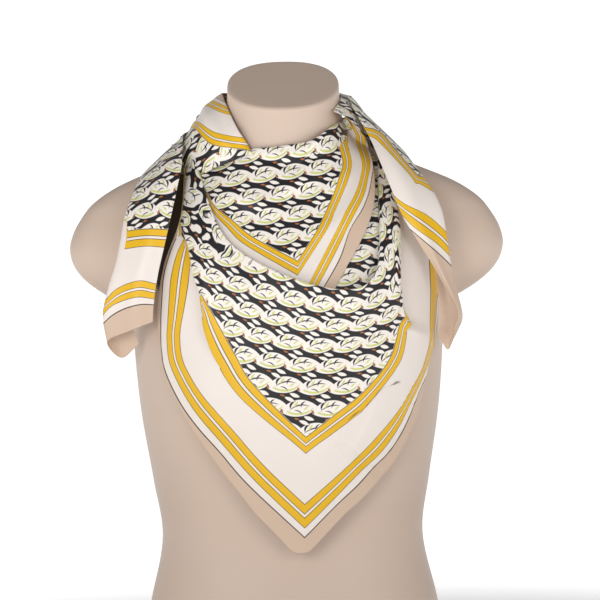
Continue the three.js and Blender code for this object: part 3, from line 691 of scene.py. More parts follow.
def ridge(x, z, line, width, rise):
    """Height of a soft fold that runs along a line of x, z places and fades at both ends."""
    line = np.asarray(line, float)
    legs = np.diff(line, axis=0)
    lengths = np.linalg.norm(legs, axis=1)
    total, best, along = lengths.sum(), np.full(x.shape, 1e9), np.zeros(x.shape)
    for k, (leg, length) in enumerate(zip(legs, lengths)):
        share = np.clip(((x - line[k, 0]) * leg[0] + (z - line[k, 1]) * leg[1]) / length ** 2, 0, 1)
        away = np.hypot(x - line[k, 0] - share * leg[0], z - line[k, 1] - share * leg[1])
        near = away < best
        best = np.where(near, away, best)
        along = np.where(near, (lengths[:k].sum() + share * length) / total, along)
    taper = np.sin(np.pi * np.clip(0.08 + 0.84 * along, 0, 1))
    return rise * taper * np.exp(-(best / width) ** 2)


def panel_surface(places, folds=()):
    x, z, off = places[..., 0], places[..., 1], places[..., 2]
    rise = sum((ridge(x, z, *fold) for fold in folds), np.zeros(x.shape))
    return clear_of_form(np.stack([x, form_front(x, z) - off - rise, z], -1), CLEARANCE)


def length_along(points):
    """Length from the left along each row of a grid."""
    steps = np.linalg.norm(np.diff(points, axis=1), axis=-1)
    return np.concatenate([np.zeros((len(points), 1)), np.cumsum(steps, 1)], 1)


def crossings(line, surface, from_right=False):
    """Where each row of a sheet crosses a line of the picture: length along the row, or nan."""
    line = spline(line, np.linspace(0, len(line) - 1, 6 * len(line)), open_ends=True)
    seen, length = picture_of(surface), length_along(surface)
    a, step = seen[:, :-1, None], (seen[:, 1:] - seen[:, :-1])[:, :, None]
    b, leg = line[None, None, :-1], (line[1:] - line[:-1])[None, None]
    across = step[..., 0] * leg[..., 1] - step[..., 1] * leg[..., 0]
    across = np.where(np.abs(across) < 1e-9, 1e-9, across)
    gap = b - a
    share = (gap[..., 0] * leg[..., 1] - gap[..., 1] * leg[..., 0]) / across
    along = (gap[..., 0] * step[..., 1] - gap[..., 1] * step[..., 0]) / across
    met = (share >= 0) & (share < 1) & (along >= 0) & (along <= 1)
    place = np.where(met, length[:, :-1, None] + share * np.diff(length, axis=1)[..., None], np.nan)
    place = place.reshape(len(surface), -1)
    empty = np.isnan(place).all(1)
    place[empty, 0] = 0
    found = np.nanmax(place, 1) if from_right else np.nanmin(place, 1)
    return np.where(empty, np.nan, found)


def off_line(places, line):
    """Signed distance in pixels from a line of the picture: positive below it."""
    line = spline(line, np.linspace(0, len(line) - 1, 8 * len(line)), open_ends=True)
    legs = np.diff(line, axis=0)
    legs = np.concatenate([legs, legs[-1:]])
    away = places[..., None, :] - line
    nearest = (away ** 2).sum(-1).argmin(-1)
    way = np.take_along_axis(away, nearest[..., None, None], -2)[..., 0, :]
    return (legs[nearest][..., 0] * way[..., 1] - legs[nearest][..., 1] * way[..., 0]) / np.linalg.norm(
        legs[nearest], axis=-1)


def between_lines(surface, lines):
    """Hem distance of points between measured lines of the picture, listed from the top down."""
    seen = picture_of(surface)
    distances = list(lines)
    below = np.stack([off_line(seen, lines[d]) for d in distances], -1)
    below = np.minimum.accumulate(below, -1)
    reading = distances[0] - below[..., 0] * MM_PER_PIXEL
    for k in range(1, len(distances)):
        over, under = np.maximum(below[..., k - 1], 0), np.maximum(-below[..., k], 0)
        share = over / np.maximum(over + under, 1e-6)
        inside = (below[..., k - 1] > 0)
        reading = np.where(inside, distances[k - 1] + share * (distances[k] - distances[k - 1]), reading)
    last = below[..., -1]
    return np.where(last > 0, distances[-1] - 0.85 * last * MM_PER_PIXEL, reading)


print("helpers for front panels ready")

# %% [markdown]
# ## The drape
# The drape shows the square's front corner. On each side the patterned middle laps over the
# border in one pressed pleat, which opens out towards the point. Along each row the sheet is
# laid out by knots: how far along the row, how far above or below the smooth swag, and where
# on the flat cloth. At a pleat the knots run back and forth, which is what a pleat is.

# %% Lines measured on the drape in the picture, in pixels from the top down
LEFT_LINES = {
    15: [(176, 160), (178, 200), (177, 232), (170, 252), (163.5, 275), (161.5, 300), (160.5, 325), (162.6, 363),
         (177, 398), (196, 426), (220, 453), (248.7, 486), (304.7, 538), (318, 549)],
    23: [(184, 160), (183.5, 200), (182, 234), (176, 253), (170.8, 276), (168.8, 300), (167.5, 324),
         (167, 340), (171, 367), (192, 407), (219.5, 440.5), (255, 480.5), (304.7, 528), (324, 545)],
    39: [(188, 160), (187.5, 200), (186, 230), (187.5, 252), (186.2, 274), (184.6, 290), (181.5, 311),
         (179, 326), (178.5, 338), (181, 357), (187, 371), (202.6, 396), (234, 432), (263.7, 466),
         (304.7, 505), (338, 535)],
    91: [(199, 292), (206, 304), (212, 314), (220, 329), (234, 354), (253, 385), (306, 438),
         (368, 490)],
}
LEFT_EDGE = [(175, 150), (176, 170), (178, 214), (182, 231), (187.6, 247.6), (191.6, 271.7),
             (194.4, 282), (197.9, 291.2), (199.6, 302.7), (201.3, 315.3), (203, 329), (213, 356),
             (234, 390), (259.5, 415), (306, 453), (364, 510)]
RIGHT_LINES = {
    15: [(434, 160), (438, 230), (441, 290), (441, 330), (436, 350), (428, 372), (419, 392),
         (408.2, 419.4), (399, 437.8), (387.6, 453.8), (373.8, 467.6), (358, 485.5), (335, 507),
         (304.7, 538), (290, 550)],
    23: [(430, 160), (434, 230), (438, 290), (437.5, 323), (434, 344.8), (427.7, 365.4), (419.7, 385),
         (410.5, 403.3), (397.9, 428.6), (380.7, 452.7), (360, 472), (332, 501), (304.7, 528),
         (284, 545)],
    39: [(424, 160), (428, 230), (430.8, 280), (431.2, 300), (430, 339), (426, 357.4), (421.4, 371.2),
         (412.8, 387.3), (402.5, 405.6), (387.6, 425.1), (366.9, 448.1), (340, 474), (304.7, 505),
         (271, 534)],
    91: [(409, 315), (400.8, 324), (397.3, 337.9), (392.1, 355), (380.7, 373.5), (360, 395.9),
         (333, 417), (306, 438), (240, 490)],
}
RIGHT_EDGE = [(396, 150), (396, 170), (397.4, 203), (401, 229), (400.7, 256), (401.5, 282),
              (404, 306), (408, 316), (411.7, 324.7), (407.6, 330), (405.9, 339), (403, 354),
              (397.9, 365.4), (387.6, 380.4), (373.8, 397.6), (360, 412.5), (333, 433), (306, 453),
              (250, 502)]
LEFT_HEM = [(160, 335), (162, 362.6), (168, 383.8), (180, 408), (198.4, 438), (222.6, 471.5),
            (240.8, 494), (255.9, 513.9), (271, 529), (290, 549), (296, 553)]
RIGHT_HEM = [(434, 335), (431, 350.5), (422, 396), (416, 420), (398, 456.4), (379.9, 479),
             (361.8, 498.7), (343.6, 515), (319.4, 541), (309, 552)]
print("lines measured:", len(LEFT_LINES) + len(RIGHT_LINES) + 4)

# %% Fine surfaces of the three front panels
FINE_ACROSS, FINE_DOWN = 161, 190
DRAPE_FOLDS = [
    ([(-96, 560), (-80, 410)], 9, 5),
    ([(108, 560), (116, 430)], 10, 4),
    ([(92, 520), (60, 400)], 14, 4),
    ([(-60, 480), (-20, 400)], 14, 3),
    ([(-115, 400), (-60, 300)], 13, 2.5),
    ([(60, 345), (20, 250)], 16, 2.5),
    ([(41, 305), (98, 252)], 3, 2.4),
    ([(122, 418), (148, 396)], 7, 4),
]
TUCK_FOLDS = [
    ([(-70, 570), (60, 585)], 9, -4),
    ([(-60, 548), (20, 530)], 10, 3),
    ([(88, 585), (20, 540)], 9, 3.5),
    ([(80, 545), (25, 500)], 10, 3),
    ([(18, 594), (36, 605), (62, 620)], 7, 6),
    ([(22, 586), (40, 588), (54, 595), (66, 610)], 3.5, -4),
    ([(-40, 588), (13, 581), (52, 604)], 5, -3),
    ([(-88, 557), (-24, 546), (55, 575)], 8, 2.5),
]

inner_places = panel_places(INNER_AT, INNER_OFF, 81, 80)
inner_surface = panel_surface(inner_places)
tuck_places = panel_places(TUCK_AT, TUCK_OFF, 121, 120)
tuck_surface = lay_over(panel_surface(tuck_places, TUCK_FOLDS), [inner_surface], 0.9)
drape_places = panel_places(DRAPE_AT, DRAPE_OFF, FINE_ACROSS, FINE_DOWN)
for _ in range(4):
    # the hems of the lower half go where they were measured; the middle stays
    seen_places = picture_of(panel_surface(drape_places))
    across = np.linspace(0, 1, FINE_ACROSS)
    for end, hem_line, near_hem in ((0, LEFT_HEM, 1 - across), (-1, RIGHT_HEM, across)):
        hem_line = spline(hem_line, np.linspace(0, len(hem_line) - 1, 200), open_ends=True)
        here = seen_places[:, end]
        nearest = hem_line[((here[:, None] - hem_line) ** 2).sum(-1).argmin(1)]
        move = (nearest - here) * ramp(here[:, 1], 345, 385)[:, None] * MM_PER_PIXEL
        weight = np.clip(2 * near_hem - 1, 0, 1)[None]
        drape_places[..., 0] += move[:, :1] * weight
        drape_places[..., 1] -= move[:, 1:] * weight
drape_surface = lay_over(panel_surface(drape_places, DRAPE_FOLDS), [inner_surface, tuck_surface], 0.9)
print("drape swag area, square cm:", round(area_of(drape_surface) * 1e4))


# %% Knots of the drape: position along the row, lift, and the flat cloth's coordinates
def normals_of(surface):
    """Unit normals of a grid of points, turned away from the form."""
    normal = np.cross(np.gradient(surface, axis=1), np.gradient(surface, axis=0))
    normal /= np.maximum(np.linalg.norm(normal, axis=-1), 1e-9)[..., None]
    _, out = gap_and_normal(surface)
    if (normal * out).sum(-1).mean() < 0:
        normal = -normal
    return normal


def unit(vectors):
    return vectors / np.maximum(np.linalg.norm(vectors, axis=-1), 1e-9)[..., None]


def soften(values, reach=4):
    wide = np.pad(values, reach, mode="edge")
    return np.mean([wide[k:k + len(values)] for k in range(2 * reach + 1)], axis=0)


class Arm:
    """One arm of the drape's border: what was measured on it, seen from its own hem."""

    def __init__(self, from_right, lines, edge, hidden):
        self.from_right = from_right
        self.length = length_along(drape_surface)
        self.total = self.length[:, -1]
        self.lines = {d: self.from_hem(crossings(line, drape_surface, from_right))
                      for d, line in lines.items()}
        self.edge = self.from_hem(crossings(edge, drape_surface, from_right))
        self.picture_lines = picture_lines(lines, edge, from_right)
        self.low, self.high = (np.interp(ROWS, [h[0] for h in hidden], [h[k] for h in hidden])
                               for k in (1, 2))
        self.closed = ramp(self.high - self.low, 2, 8)
        outer, inner = self.lines[15], self.lines[39]
        self.turned = soften(np.maximum(15 - outer * 24 / np.maximum(inner - outer, 4), 0))

    def from_hem(self, place):
        """Distance from this arm's hem; past a line's ends it runs on straight."""
        place = self.total - place if self.from_right else place
        known = np.flatnonzero(~np.isnan(place))
        rows = np.arange(len(place))
        full = np.interp(rows, known, place[known])
        for side, end in ((rows < known[0], known[:8]), (rows > known[-1], known[-8:])):
            slope = np.polyfit(end, place[end], 1)[0]
            full[side] += slope * (rows[side] - (end[0] if side[0] else end[-1]))
        return np.clip(full, -40, 400)

    def border_knots(self, j, below):
        knots = [(0.0, self.turned[j])]
        for distance, at in self.lines.items():
            if distance < below and at[j] > knots[-1][0] + 0.2 and distance > knots[-1][1]:
                knots.append((at[j], distance))
        return knots


def picture_lines(lines, edge, from_right):
    """Lines of one arm from the field outwards, so that the hem lies on their left hand."""
    every = {91: lines[91], 77: edge, 39: lines[39], 23: lines[23], 15: lines[15]}
    return {d: line[::-1] if from_right else line for d, line in every.items()}


# how much of the border each side's pleat hides: row, from and up to which hem distance
LEFT_HIDDEN = [(0, 47, 97), (2.4, 50, 97), (2.8, 57, 86), (3.03, 61, 80), (3.27, 65, 77.5),
               (3.6, 70, 77), (4.0, 76, 77)]
RIGHT_HIDDEN = [(0, 64, 95), (2.6, 66, 93), (2.95, 67, 88), (3.07, 70, 81), (3.2, 74, 78),
                (3.4, 76, 77)]
ROWS = np.linspace(0, len(DRAPE_AT) - 1, FINE_DOWN)
left_arm = Arm(False, LEFT_LINES, LEFT_EDGE, LEFT_HIDDEN)
right_arm = Arm(True, RIGHT_LINES, RIGHT_EDGE, RIGHT_HIDDEN)
print("turned under at the hems, mm:", left_arm.turned[::30].round(1), right_arm.turned[::30].round(1))

# %% The drape as one sheet with its pleats
BORDER_SAMPLES, PLEAT_SAMPLES, FIELD_SAMPLES, CURL_SAMPLES = 30, 22, 90, 9
PLEAT_HEIGHT = 5.5
OPEN_SPREAD = 4.0
PLEAT_SHAPE = np.array([
    (0.0, -1.0), (0.45, -1.0), (0.93, -1.0), (1.0, -0.8), (0.93, -0.6), (0.45, -0.58), (0.06, -0.56),
    (-0.04, -0.28), (0.08, 0.0),
])


def pleated_side(arm, j):
    """Border and pleat of one arm on row j: place from the hem, lift, own hem distance."""
    closed = arm.closed[j]
    edge = np.clip(arm.edge[j], 0.6, 0.36 * arm.total[j])
    depth = (arm.high[j] - arm.low[j]) / 2
    spread = np.linspace(-OPEN_SPREAD, OPEN_SPREAD, len(PLEAT_SHAPE)) * min(1, edge / 12)
    place = edge + spread + (PLEAT_SHAPE[:, 0] * depth - spread) * closed
    height = PLEAT_HEIGHT * min(1, depth / 8)
    marks = np.linspace(arm.low[j], arm.high[j], len(place))
    pleat = spline(np.column_stack([place, PLEAT_SHAPE[:, 1] * height * closed, marks]),
                   np.linspace(0, len(place) - 1, PLEAT_SAMPLES))
    share = np.linspace(0, 1, BORDER_SAMPLES, endpoint=False)
    border = pleat[0, 0] * share
    knots = arm.border_knots(j, arm.low[j])
    knots = knots[:1] + [k for k in knots[1:] if k[0] < pleat[0, 0] - 0.5]
    knots.append((pleat[0, 0], max(arm.low[j], knots[-1][1])))
    reading = np.interp(border, [k[0] for k in knots], [k[1] for k in knots])
    border_part = np.column_stack([border, pleat[0, 1] * ramp(share, 0.1, 1.0), reading])
    return np.concatenate([border_part, pleat])


def curl_under(edge, tangent, out, amount):
    """The last of a hem, rolled under the sheet."""
    radius = np.clip(amount / math.pi, 0.3, 2.0)
    points, spent = [], []
    for angle in np.linspace(0, math.pi, 6)[1:]:
        points.append(edge + radius[:, None] * (math.sin(angle) * tangent + (math.cos(angle) - 1) * out))
        spent.append(radius * angle)
    rest = np.maximum(amount - math.pi * radius, 0.3)
    for share in np.linspace(0, 1, CURL_SAMPLES - 4)[1:]:
        points.append(edge - 2 * radius[:, None] * out - (rest * share)[:, None] * tangent)
        spent.append(math.pi * radius + rest * share)
    return np.array(points), np.array(spent)


def drape_sheet():
    length, normal = length_along(drape_surface), normals_of(drape_surface)
    spread_out = spread_flat(panel_surface(drape_places), 1500, 6)
    points, flat = [], []
    for j in range(len(ROWS)):
        total = length[j, -1]
        left, right = pleated_side(left_arm, j), pleated_side(right_arm, j)
        right[:, 0] = total - right[:, 0]
        field = np.linspace(left[-1, 0], right[-1, 0], FIELD_SAMPLES + 2)[1:-1]
        place = np.concatenate([left[:, 0], field, right[::-1, 0]])
        lift = np.concatenate([left[:, 1], 0 * field, right[::-1, 1]])
        base = np.stack([np.interp(place, length[j], drape_surface[j, :, k]) for k in range(3)], -1)
        out = np.stack([np.interp(place, length[j], normal[j, :, k]) for k in range(3)], -1)
        points.append(base + out * lift[:, None])

        # hem distances: a pleated reading and an open one, mixed where the pleat opens
        own = []
        for arm, near in ((left_arm, left), (right_arm, right)):
            opened = between_lines(base, arm.picture_lines)
            pleated = opened.copy()
            covered = slice(-len(near), None) if arm.from_right else slice(0, len(near))
            pleated[covered] = near[::-1, 2] if arm.from_right else near[:, 2]
            own.append(opened + (pleated - opened) * ramp(arm.closed[j], 0.5, 0.9))
        own += [np.interp(place, length[j], spread_out[j, :, k]) for k in range(2)]
        flat.append(np.stack(own, -1))
    points, flat = np.array(points), np.array(flat)
    sides = []
    for arm, end, axis in ((left_arm, 0, 0), (right_arm, -1, 1)):
        next_one = 1 if end == 0 else -2
        tangent = unit(points[:, end] - points[:, next_one])
        _, out = gap_and_normal(points[:, end])
        out = unit(out - tangent * (out * tangent).sum(-1)[:, None])
        amount = np.clip(soften(flat[:, end, axis]), 0.5, 8)
        curl, spent = curl_under(points[:, end], tangent, out, amount)
        marks = np.repeat(flat[None, :, end], len(curl), 0)
        marks[..., axis] = np.maximum(marks[..., axis] - spent, 0.2)
        marks[..., 2] += spent * (1 if end else -1)
        sides.append((curl.transpose(1, 0, 2), marks.transpose(1, 0, 2)))
    points = np.concatenate([sides[0][0][:, ::-1], points, sides[1][0]], 1)
    flat = np.concatenate([sides[0][1][:, ::-1], flat, sides[1][1]], 1)
    return clear_of_form(points, 1.0), flat


def rolled_edge(points, flat, radius, tail):
    """Rolls a sheet's top edge over and lets it run down again behind, as a soft fold does."""
    first, second = points[0], points[3]
    up = unit(first - second)
    _, out = gap_and_normal(first)
    out = unit(out - up * (out * up).sum(-1)[:, None])
    rows, marks = [], []
    slope = (flat[0] - flat[3]) / np.maximum(np.linalg.norm(first - second, axis=-1), 0.5)[:, None]
    for angle in np.linspace(0, math.pi, 9)[1:]:
        rows.append(first + radius * (math.sin(angle) * up + (math.cos(angle) - 1) * out))
        marks.append(flat[0] + slope * radius * angle)
    for drop in np.linspace(0, tail, 7)[1:]:
        rows.append(first - 2 * radius * out - drop * up)
        marks.append(flat[0] + slope * (radius * math.pi + drop))
    return (np.concatenate([np.array(rows)[::-1], points]),
            np.concatenate([np.array(marks)[::-1], flat]))


def thin_cloth(piece, thickness=0.4):
    wall = piece.modifiers.new("cloth_thickness", "SOLIDIFY")
    wall.thickness = thickness * MM
    wall.offset = -1
    return wall


def cloth_piece(name, node, points, flat):
    """A sheet of silk from a grid, with its places on the flat cloth as UV maps, a thin wall and the silk material.
    """
    if (normals_of(points) * np.cross(np.gradient(points, axis=1), np.gradient(points, axis=0))).sum() > 0:
        points, flat = points[:, ::-1], flat[:, ::-1]
    piece = grid_mesh(name, points, flat)
    thin_cloth(piece)
    finish_piece(piece, node, silk)
    return piece


drape_points, drape_flat = drape_sheet()
drape_points, drape_flat = rolled_edge(drape_points, drape_flat, 2.4, 24)
drape = cloth_piece("front_drape_silk", "front_drape", drape_points, drape_flat)

# %% [markdown]
# ## The tucked front and the part that lies on the chest
# Inside the drape a second layer of the same corner shows, rolled over at the neckline, with
# the other hem running down its right side. It lies on a last layer that is mostly hidden.

# %% Lines measured on the tucked front, in picture pixels
TUCK_LEFT_LINES = {
    77: [(178, 158), (195.6, 182), (214, 212), (229, 229), (240.4, 240.7), (260, 253.3), (298, 275),
         (340, 300)],
    91: [(188, 155), (199, 177.5), (206, 192.5), (215, 207.4), (231, 220), (247, 233.8), (260, 241.8),
         (298, 262), (345, 288)],
}
TUCK_RIGHT_LINES = {
    15: [(358, 108), (362, 122), (368, 134), (369, 145), (373.1, 162.4), (371.8, 177.6), (368.6, 193.9),
         (362, 210), (350, 230), (340, 259), (322, 291), (312, 310)],
    23: [(350, 110), (355, 121), (365, 134), (365.9, 145), (370.2, 162.4), (368, 177.6), (364.3, 193.9),
         (356.7, 210), (346.4, 230), (334, 255), (316, 289), (306, 308)],
    39: [(345, 112), (350, 123), (355, 134), (356.7, 145), (362, 162.4), (360.5, 177.6), (355, 193.9),
         (346.4, 210), (336.6, 230), (310, 282), (300, 302)],
    77: [(346, 112), (348, 140.7), (348, 145), (351.8, 162.4), (349, 177.6), (342.6, 193.9), (335.5, 210),
         (326.8, 230), (298, 275), (284, 300)],
    91: [(338, 112), (340, 140.7), (339.3, 145), (343.6, 162.4), (339.8, 177.6), (334.4, 193.9),
         (327.4, 210), (318, 230), (298, 262), (282, 288)],
}
ROLL_LINE = [(300, 157), (312, 155), (323, 153), (337, 147), (346, 139), (349, 126), (351, 108)]


def tuck_flat():
    left = between_lines(tuck_surface, {d: TUCK_LEFT_LINES[d] for d in (91, 77)})
    right = between_lines(tuck_surface, {d: TUCK_RIGHT_LINES[d][::-1] for d in (91, 77, 39, 23, 15)})
    # the roll at the neckline shows print only and ends at a crease
    seen = picture_of(tuck_surface)
    in_roll = (off_line(seen, ROLL_LINE) < 0) & (seen[..., 0] > 306)
    right = np.maximum(np.where(in_roll, np.maximum(right, 96), right), 0.5)
    return np.concatenate([np.stack([left, right], -1), spread_flat(tuck_surface)], -1)


tuck_marks = tuck_flat()
tuck_points, tuck_marks = rolled_edge(tuck_surface, tuck_marks, 3.5, 12)
tuck = cloth_piece("front_tuck_silk", "front_tuck", clear_of_form(tuck_points, 1.0), tuck_marks)

inner_marks = np.concatenate([np.full(inner_surface.shape[:2] + (2,), 200.0),
                              spread_flat(inner_surface)], -1)
# left of the drape a deep gap between two stretches of cloth shows; there this sheet is painted the dark line tone
# as painted shade
painted_gap_shade = 1 - ramp(inner_surface[..., 0], -100, -88)
inner_marks[..., 0] = np.where(painted_gap_shade > 0.5, 15.5, 200)
inner = cloth_piece("front_inner_silk", "front_inner", inner_surface, inner_marks)

# %% [markdown]
# ## Bands round the neck
# Behind the shoulders the folded square narrows into gathered bands. A band runs from station
# to station, each with an upper and a lower edge, and its lengthwise pleats are shallow waves.

# %% Stations of the bands: upper edge, lower edge, bulge
COLLAR_LEFT = [
    (-30, -46, 592, -82, -38, 573, 6), (-47, -40, 617, -99, -24, 577, 9),
    (-59, -12, 642, -112, -4, 583, 10), (-64, 26, 654, -112, 41, 584, 10),
]
NAPE_UNDER = [
    (-63.6, 27.4, 654, -111, 42.6, 584, 10), (-44, 62, 652, -72, 79, 577, 9),
    (0, 76, 645, 0, 85, 590, 8), (42, 69, 632, 58, 83, 573, 8),
    (68, 50, 624, 102, 72, 562, 9), (75, 30, 636, 122, 47, 580, 6),
]
NAPE_OVER = [
    (61, 26, 650, 65, 30, 630, 2), (45, 58, 650, 53, 70, 626, 4), (0, 84, 648, 0, 94, 578, 10),
    (-48, 78, 636, -74, 86, 566, 11), (-84, 60, 622, -110, 64, 562, 10),
    (-104, 35, 612, -130, 53, 573, 6),
]
COLLAR_RIGHT = [
    (52, -34, 634, 86, -34, 606, 4), (55, 0, 648, 86, -4, 618, 6), (57, 25, 652, 84, 30, 628, 6),
]


def band_surface(stations, waves, rise, across, along):
    table = np.array(stations, float)
    t = np.linspace(0, len(table) - 1, along)
    rows = spline(table, t)
    ahead = spline(table, np.minimum(t + 0.02 * (len(table) - 1), len(table) - 1))
    back = spline(table, np.maximum(t - 0.02 * (len(table) - 1), 0))
    run = (ahead[:, :3] + ahead[:, 3:6]) - (back[:, :3] + back[:, 3:6])
    outward = unit(np.cross(rows[:, 3:6] - rows[:, :3], run))
    centre = (rows[:, :3] + rows[:, 3:6]) / 2
    away = np.column_stack([centre[:, 0], centre[:, 1] - middle_of(centre[:, 2]), np.zeros(along)])
    outward *= np.sign((outward * away).sum(-1))[:, None]
    s = np.linspace(0, 1, across)
    wave = rise * np.sin(2 * np.pi * waves * s) + 0.35 * rise * np.sin(2 * np.pi * (2 * waves + 1) * s + 1)
    lift = rows[:, 6, None] * np.sin(np.pi * s) + wave * np.ones((along, 1))
    edge = rows[:, None, :3] * (1 - s)[:, None] + rows[:, None, 3:6] * s[:, None]
    return clear_of_form(edge + outward[:, None] * lift[..., None], CLEARANCE)


def band_flat(surface, upper, lower):
    """Flat coordinates of a band: hem distance by station at both edges, and length along it."""
    rows, columns = surface.shape[:2]
    top = spline(upper, np.linspace(0, len(upper) - 1, rows))
    bottom = spline(lower, np.linspace(0, len(lower) - 1, rows))
    s = np.linspace(0, 1, columns)
    hem = top[:, None] * (1 - s) + bottom[:, None] * s
    return np.concatenate([hem[..., None], 0 * hem[..., None] + 300, spread_flat(surface)], -1)


collar_left_surface = lay_over(band_surface(COLLAR_LEFT, 1.5, 1.6, 61, 90),
                               [tuck_points, drape_points], 0.9)
collar_right_surface = lay_over(band_surface(COLLAR_RIGHT, 1, 0.8, 31, 40), [tuck_points], 0.9)
nape_under_surface = band_surface(NAPE_UNDER, 3, 1.8, 91, 150)
nape_over_surface = lay_over(band_surface(NAPE_OVER, 3, 1.8, 91, 150),
                             [nape_under_surface, collar_left_surface], 0.9)
collar_left = cloth_piece("collar_left_silk", "collar_left", collar_left_surface,
                          band_flat(collar_left_surface, [95, 66, 20, 1], [130, 125, 163, 156]))
collar_right = cloth_piece("collar_right_silk", "collar_right", collar_right_surface,
                           band_flat(collar_right_surface, [150, 150, 150], [130, 130, 130]))
nape_under = cloth_piece("nape_under_silk", "nape_under", nape_under_surface,
                         band_flat(nape_under_surface, [1, 20, 50, 70, 90, 100], [156, 156, 160, 160, 160, 150]))
nape_over = cloth_piece("nape_over_silk", "nape_over", nape_over_surface,
                        band_flat(nape_over_surface, [150, 160, 170, 180, 190, 200], [130, 120, 100, 110, 120, 130]))

# %% [markdown]
# ## The two hanging ends
# Each end comes forward over a shoulder and hangs folded in two: a front panel, an outer fold
# and the cloth that turns back behind it, open at the bottom.

# %% Stations of the ends: inner edge, outer fold, width turned back, drop of its corner
END_LEFT = [
    (-104.6, 33.1, 612, -131, 50.1, 575, 3, 0), (-106, 2, 610, -146, 12, 574, 5, 0),
    (-106, -30, 598, -154, -20, 563, 8, 0), (-107, -52, 580, -160, -42, 548, 11, 0),
    (-112, -66, 557, -167, -56, 529, 14, 0), (-118, -78, 531, -171, -66, 508, 17, 1),
    (-125, -85, 502, -176, -72, 485, 20, 2), (-132, -88, 474, -185, -76, 457, 24, 3),
    (-137, -90, 446, -191, -77, 430, 29, 6), (-139, -90, 423, -187, -77, 402, 34, 18),
]
END_RIGHT = [
    (67, 28, 647, 122.5, 43.9, 582, 3, 0), (67, 2, 648, 126, 12, 588, 5, 0),
    (76, -26, 631, 132, -17, 581, 8, 0), (90, -48, 604, 142, -38, 567, 11, 0),
    (100, -64, 579, 154, -53, 549, 14, 0), (110, -76, 553, 162, -63, 529, 17, 0),
    (120, -84, 527, 166, -70, 505, 19, 1), (135, -87, 501, 169, -75, 480, 18, 2),
    (151, -88, 474, 173, -77, 456, 19, 6), (165, -86, 447, 179, -78, 432, 24, 12),
    (174, -82, 426, 180, -78, 417, 26, 14), (170, -79, 409, 172, -77, 404, 17, 18),
]


def end_surface(stations, waves, rise, crown, across, along):
    table = np.array(stations, float)
    rows = spline(table, np.linspace(0, len(table) - 1, along))
    start, fold, turn, drop = rows[:, :3], rows[:, 3:6], rows[:, 6], rows[:, 7]
    inwards = np.sign(start[:, 0])
    zero = np.zeros(along)
    tail = fold + np.column_stack([-0.42 * turn * inwards, 0.5 * turn, -drop])
    back = fold + np.column_stack([-0.95 * turn * inwards, 0.42 * turn, -0.2 * drop])
    top = (start + fold) / 2 + np.column_stack([zero, zero - crown, zero + 0.3 * crown])
    stops = np.stack([start, top, fold, tail, back])
    # centripetal spacing of the stops, as in the CAD
    legs = np.linalg.norm(np.diff(stops, axis=0), axis=-1) ** 0.5
    s = np.linspace(0, 4, across)
    i = np.minimum(s.astype(int), 3)
    w = s - i
    padded = np.concatenate([[2 * stops[0] - stops[1]], stops, [2 * stops[-1] - stops[-2]]])
    legs = np.concatenate([[legs[0]], legs, [legs[-1]]])
    surface = np.zeros((along, across, 3))
    for k in range(across):
        p0, p1, p2, p3 = (padded[i[k] + n] for n in range(4))
        d0, d1, d2 = (legs[i[k] + n][:, None] for n in range(3))
        t1 = ((p1 - p0) / d0 - (p2 - p0) / (d0 + d1) + (p2 - p1) / d1) * d1
        t2 = ((p2 - p1) / d1 - (p3 - p1) / (d1 + d2) + (p3 - p2) / d2) * d1
        x = w[k]
        surface[:, k] = (p1 + t1 * x + (-3 * p1 + 3 * p2 - 2 * t1 - t2) * x * x
                         + (2 * p1 - 2 * p2 + t1 + t2) * x ** 3)
    wave = rise * np.sin(2 * np.pi * waves * s / 4) * np.sin(np.pi * np.minimum(s / 2, 1))
    surface[..., 1] -= wave
    return clear_of_form(surface, CLEARANCE)


END_LEFT_LINES = {
    91: [(100, 246), (118, 236), (126, 232), (145, 229.5), (166, 230), (176, 231)],
    77: [(98, 262), (116, 252), (124, 249), (145, 246), (163, 247), (174, 248)],
    39: [(96, 308), (106, 300), (114.5, 291), (125, 285), (140, 281), (155, 284), (168, 287)],
    23: [(94, 324), (102, 316), (110, 307), (122, 301), (138, 297), (154, 299), (168, 302)],
    15: [(92, 334), (102, 325), (112, 316), (125, 309), (140, 305), (154, 305), (168, 307)],
}
END_RIGHT_LINES = {
    91: [(352, 122), (366, 128), (374.4, 129.8), (383, 135), (391, 145), (406, 163), (416.6, 175),
         (422, 177.5), (433.5, 181), (442, 186.5), (449, 195), (462, 212)],
    77: [(352, 130), (366, 135), (374.4, 138), (380.7, 143.3), (391, 154), (404, 168), (411, 176),
         (416, 183), (421, 184), (435.6, 193), (449, 201.5), (462, 219)],
    39: [(380, 180), (388, 190), (403, 203), (428, 216), (449.6, 236), (459.5, 252.6), (468, 264)],
    23: [(384, 196), (400, 213), (414.8, 227.7), (436, 242.6), (453, 259), (461, 267.5), (470, 280)],
    15: [(388, 206), (402, 222), (421.4, 239), (441, 256), (456, 271), (461, 277.5), (470, 290)],
}
LEFT_CREASE = [(127, 215), (126, 240), (120, 265), (115.5, 290), (110, 310), (104, 335)]


def end_flat(surface, lines, front, crease=None):
    """Hem distances of a hanging end: by measured lines in front, by its own hem behind."""
    rows, columns = surface.shape[:2]
    face = between_lines(surface[:, :front], lines)
    if crease:
        # the cloth outside the crease turns away, so the inner stripes stop there
        seen = picture_of(surface[:, :front])
        outside_crease = ramp(off_line(seen, crease), -0.4, 0.4) * ramp(seen[..., 1], 218, 222)
        face = face + (np.minimum(face, 66) - face) * outside_crease
    hem = np.repeat(face[:, -1:], columns, 1)
    hem[:, :front] = face
    down = length_along(surface.transpose(1, 0, 2)).T
    left_over = 0.6 * (down[-1] - down)
    behind = np.arange(columns) >= front
    hem[:, behind] = np.minimum(hem[:, behind], left_over[:, behind])
    hem = np.maximum(hem, 0.3)[..., None]
    return np.concatenate([hem, 0 * hem + 300, spread_flat(surface)], -1)


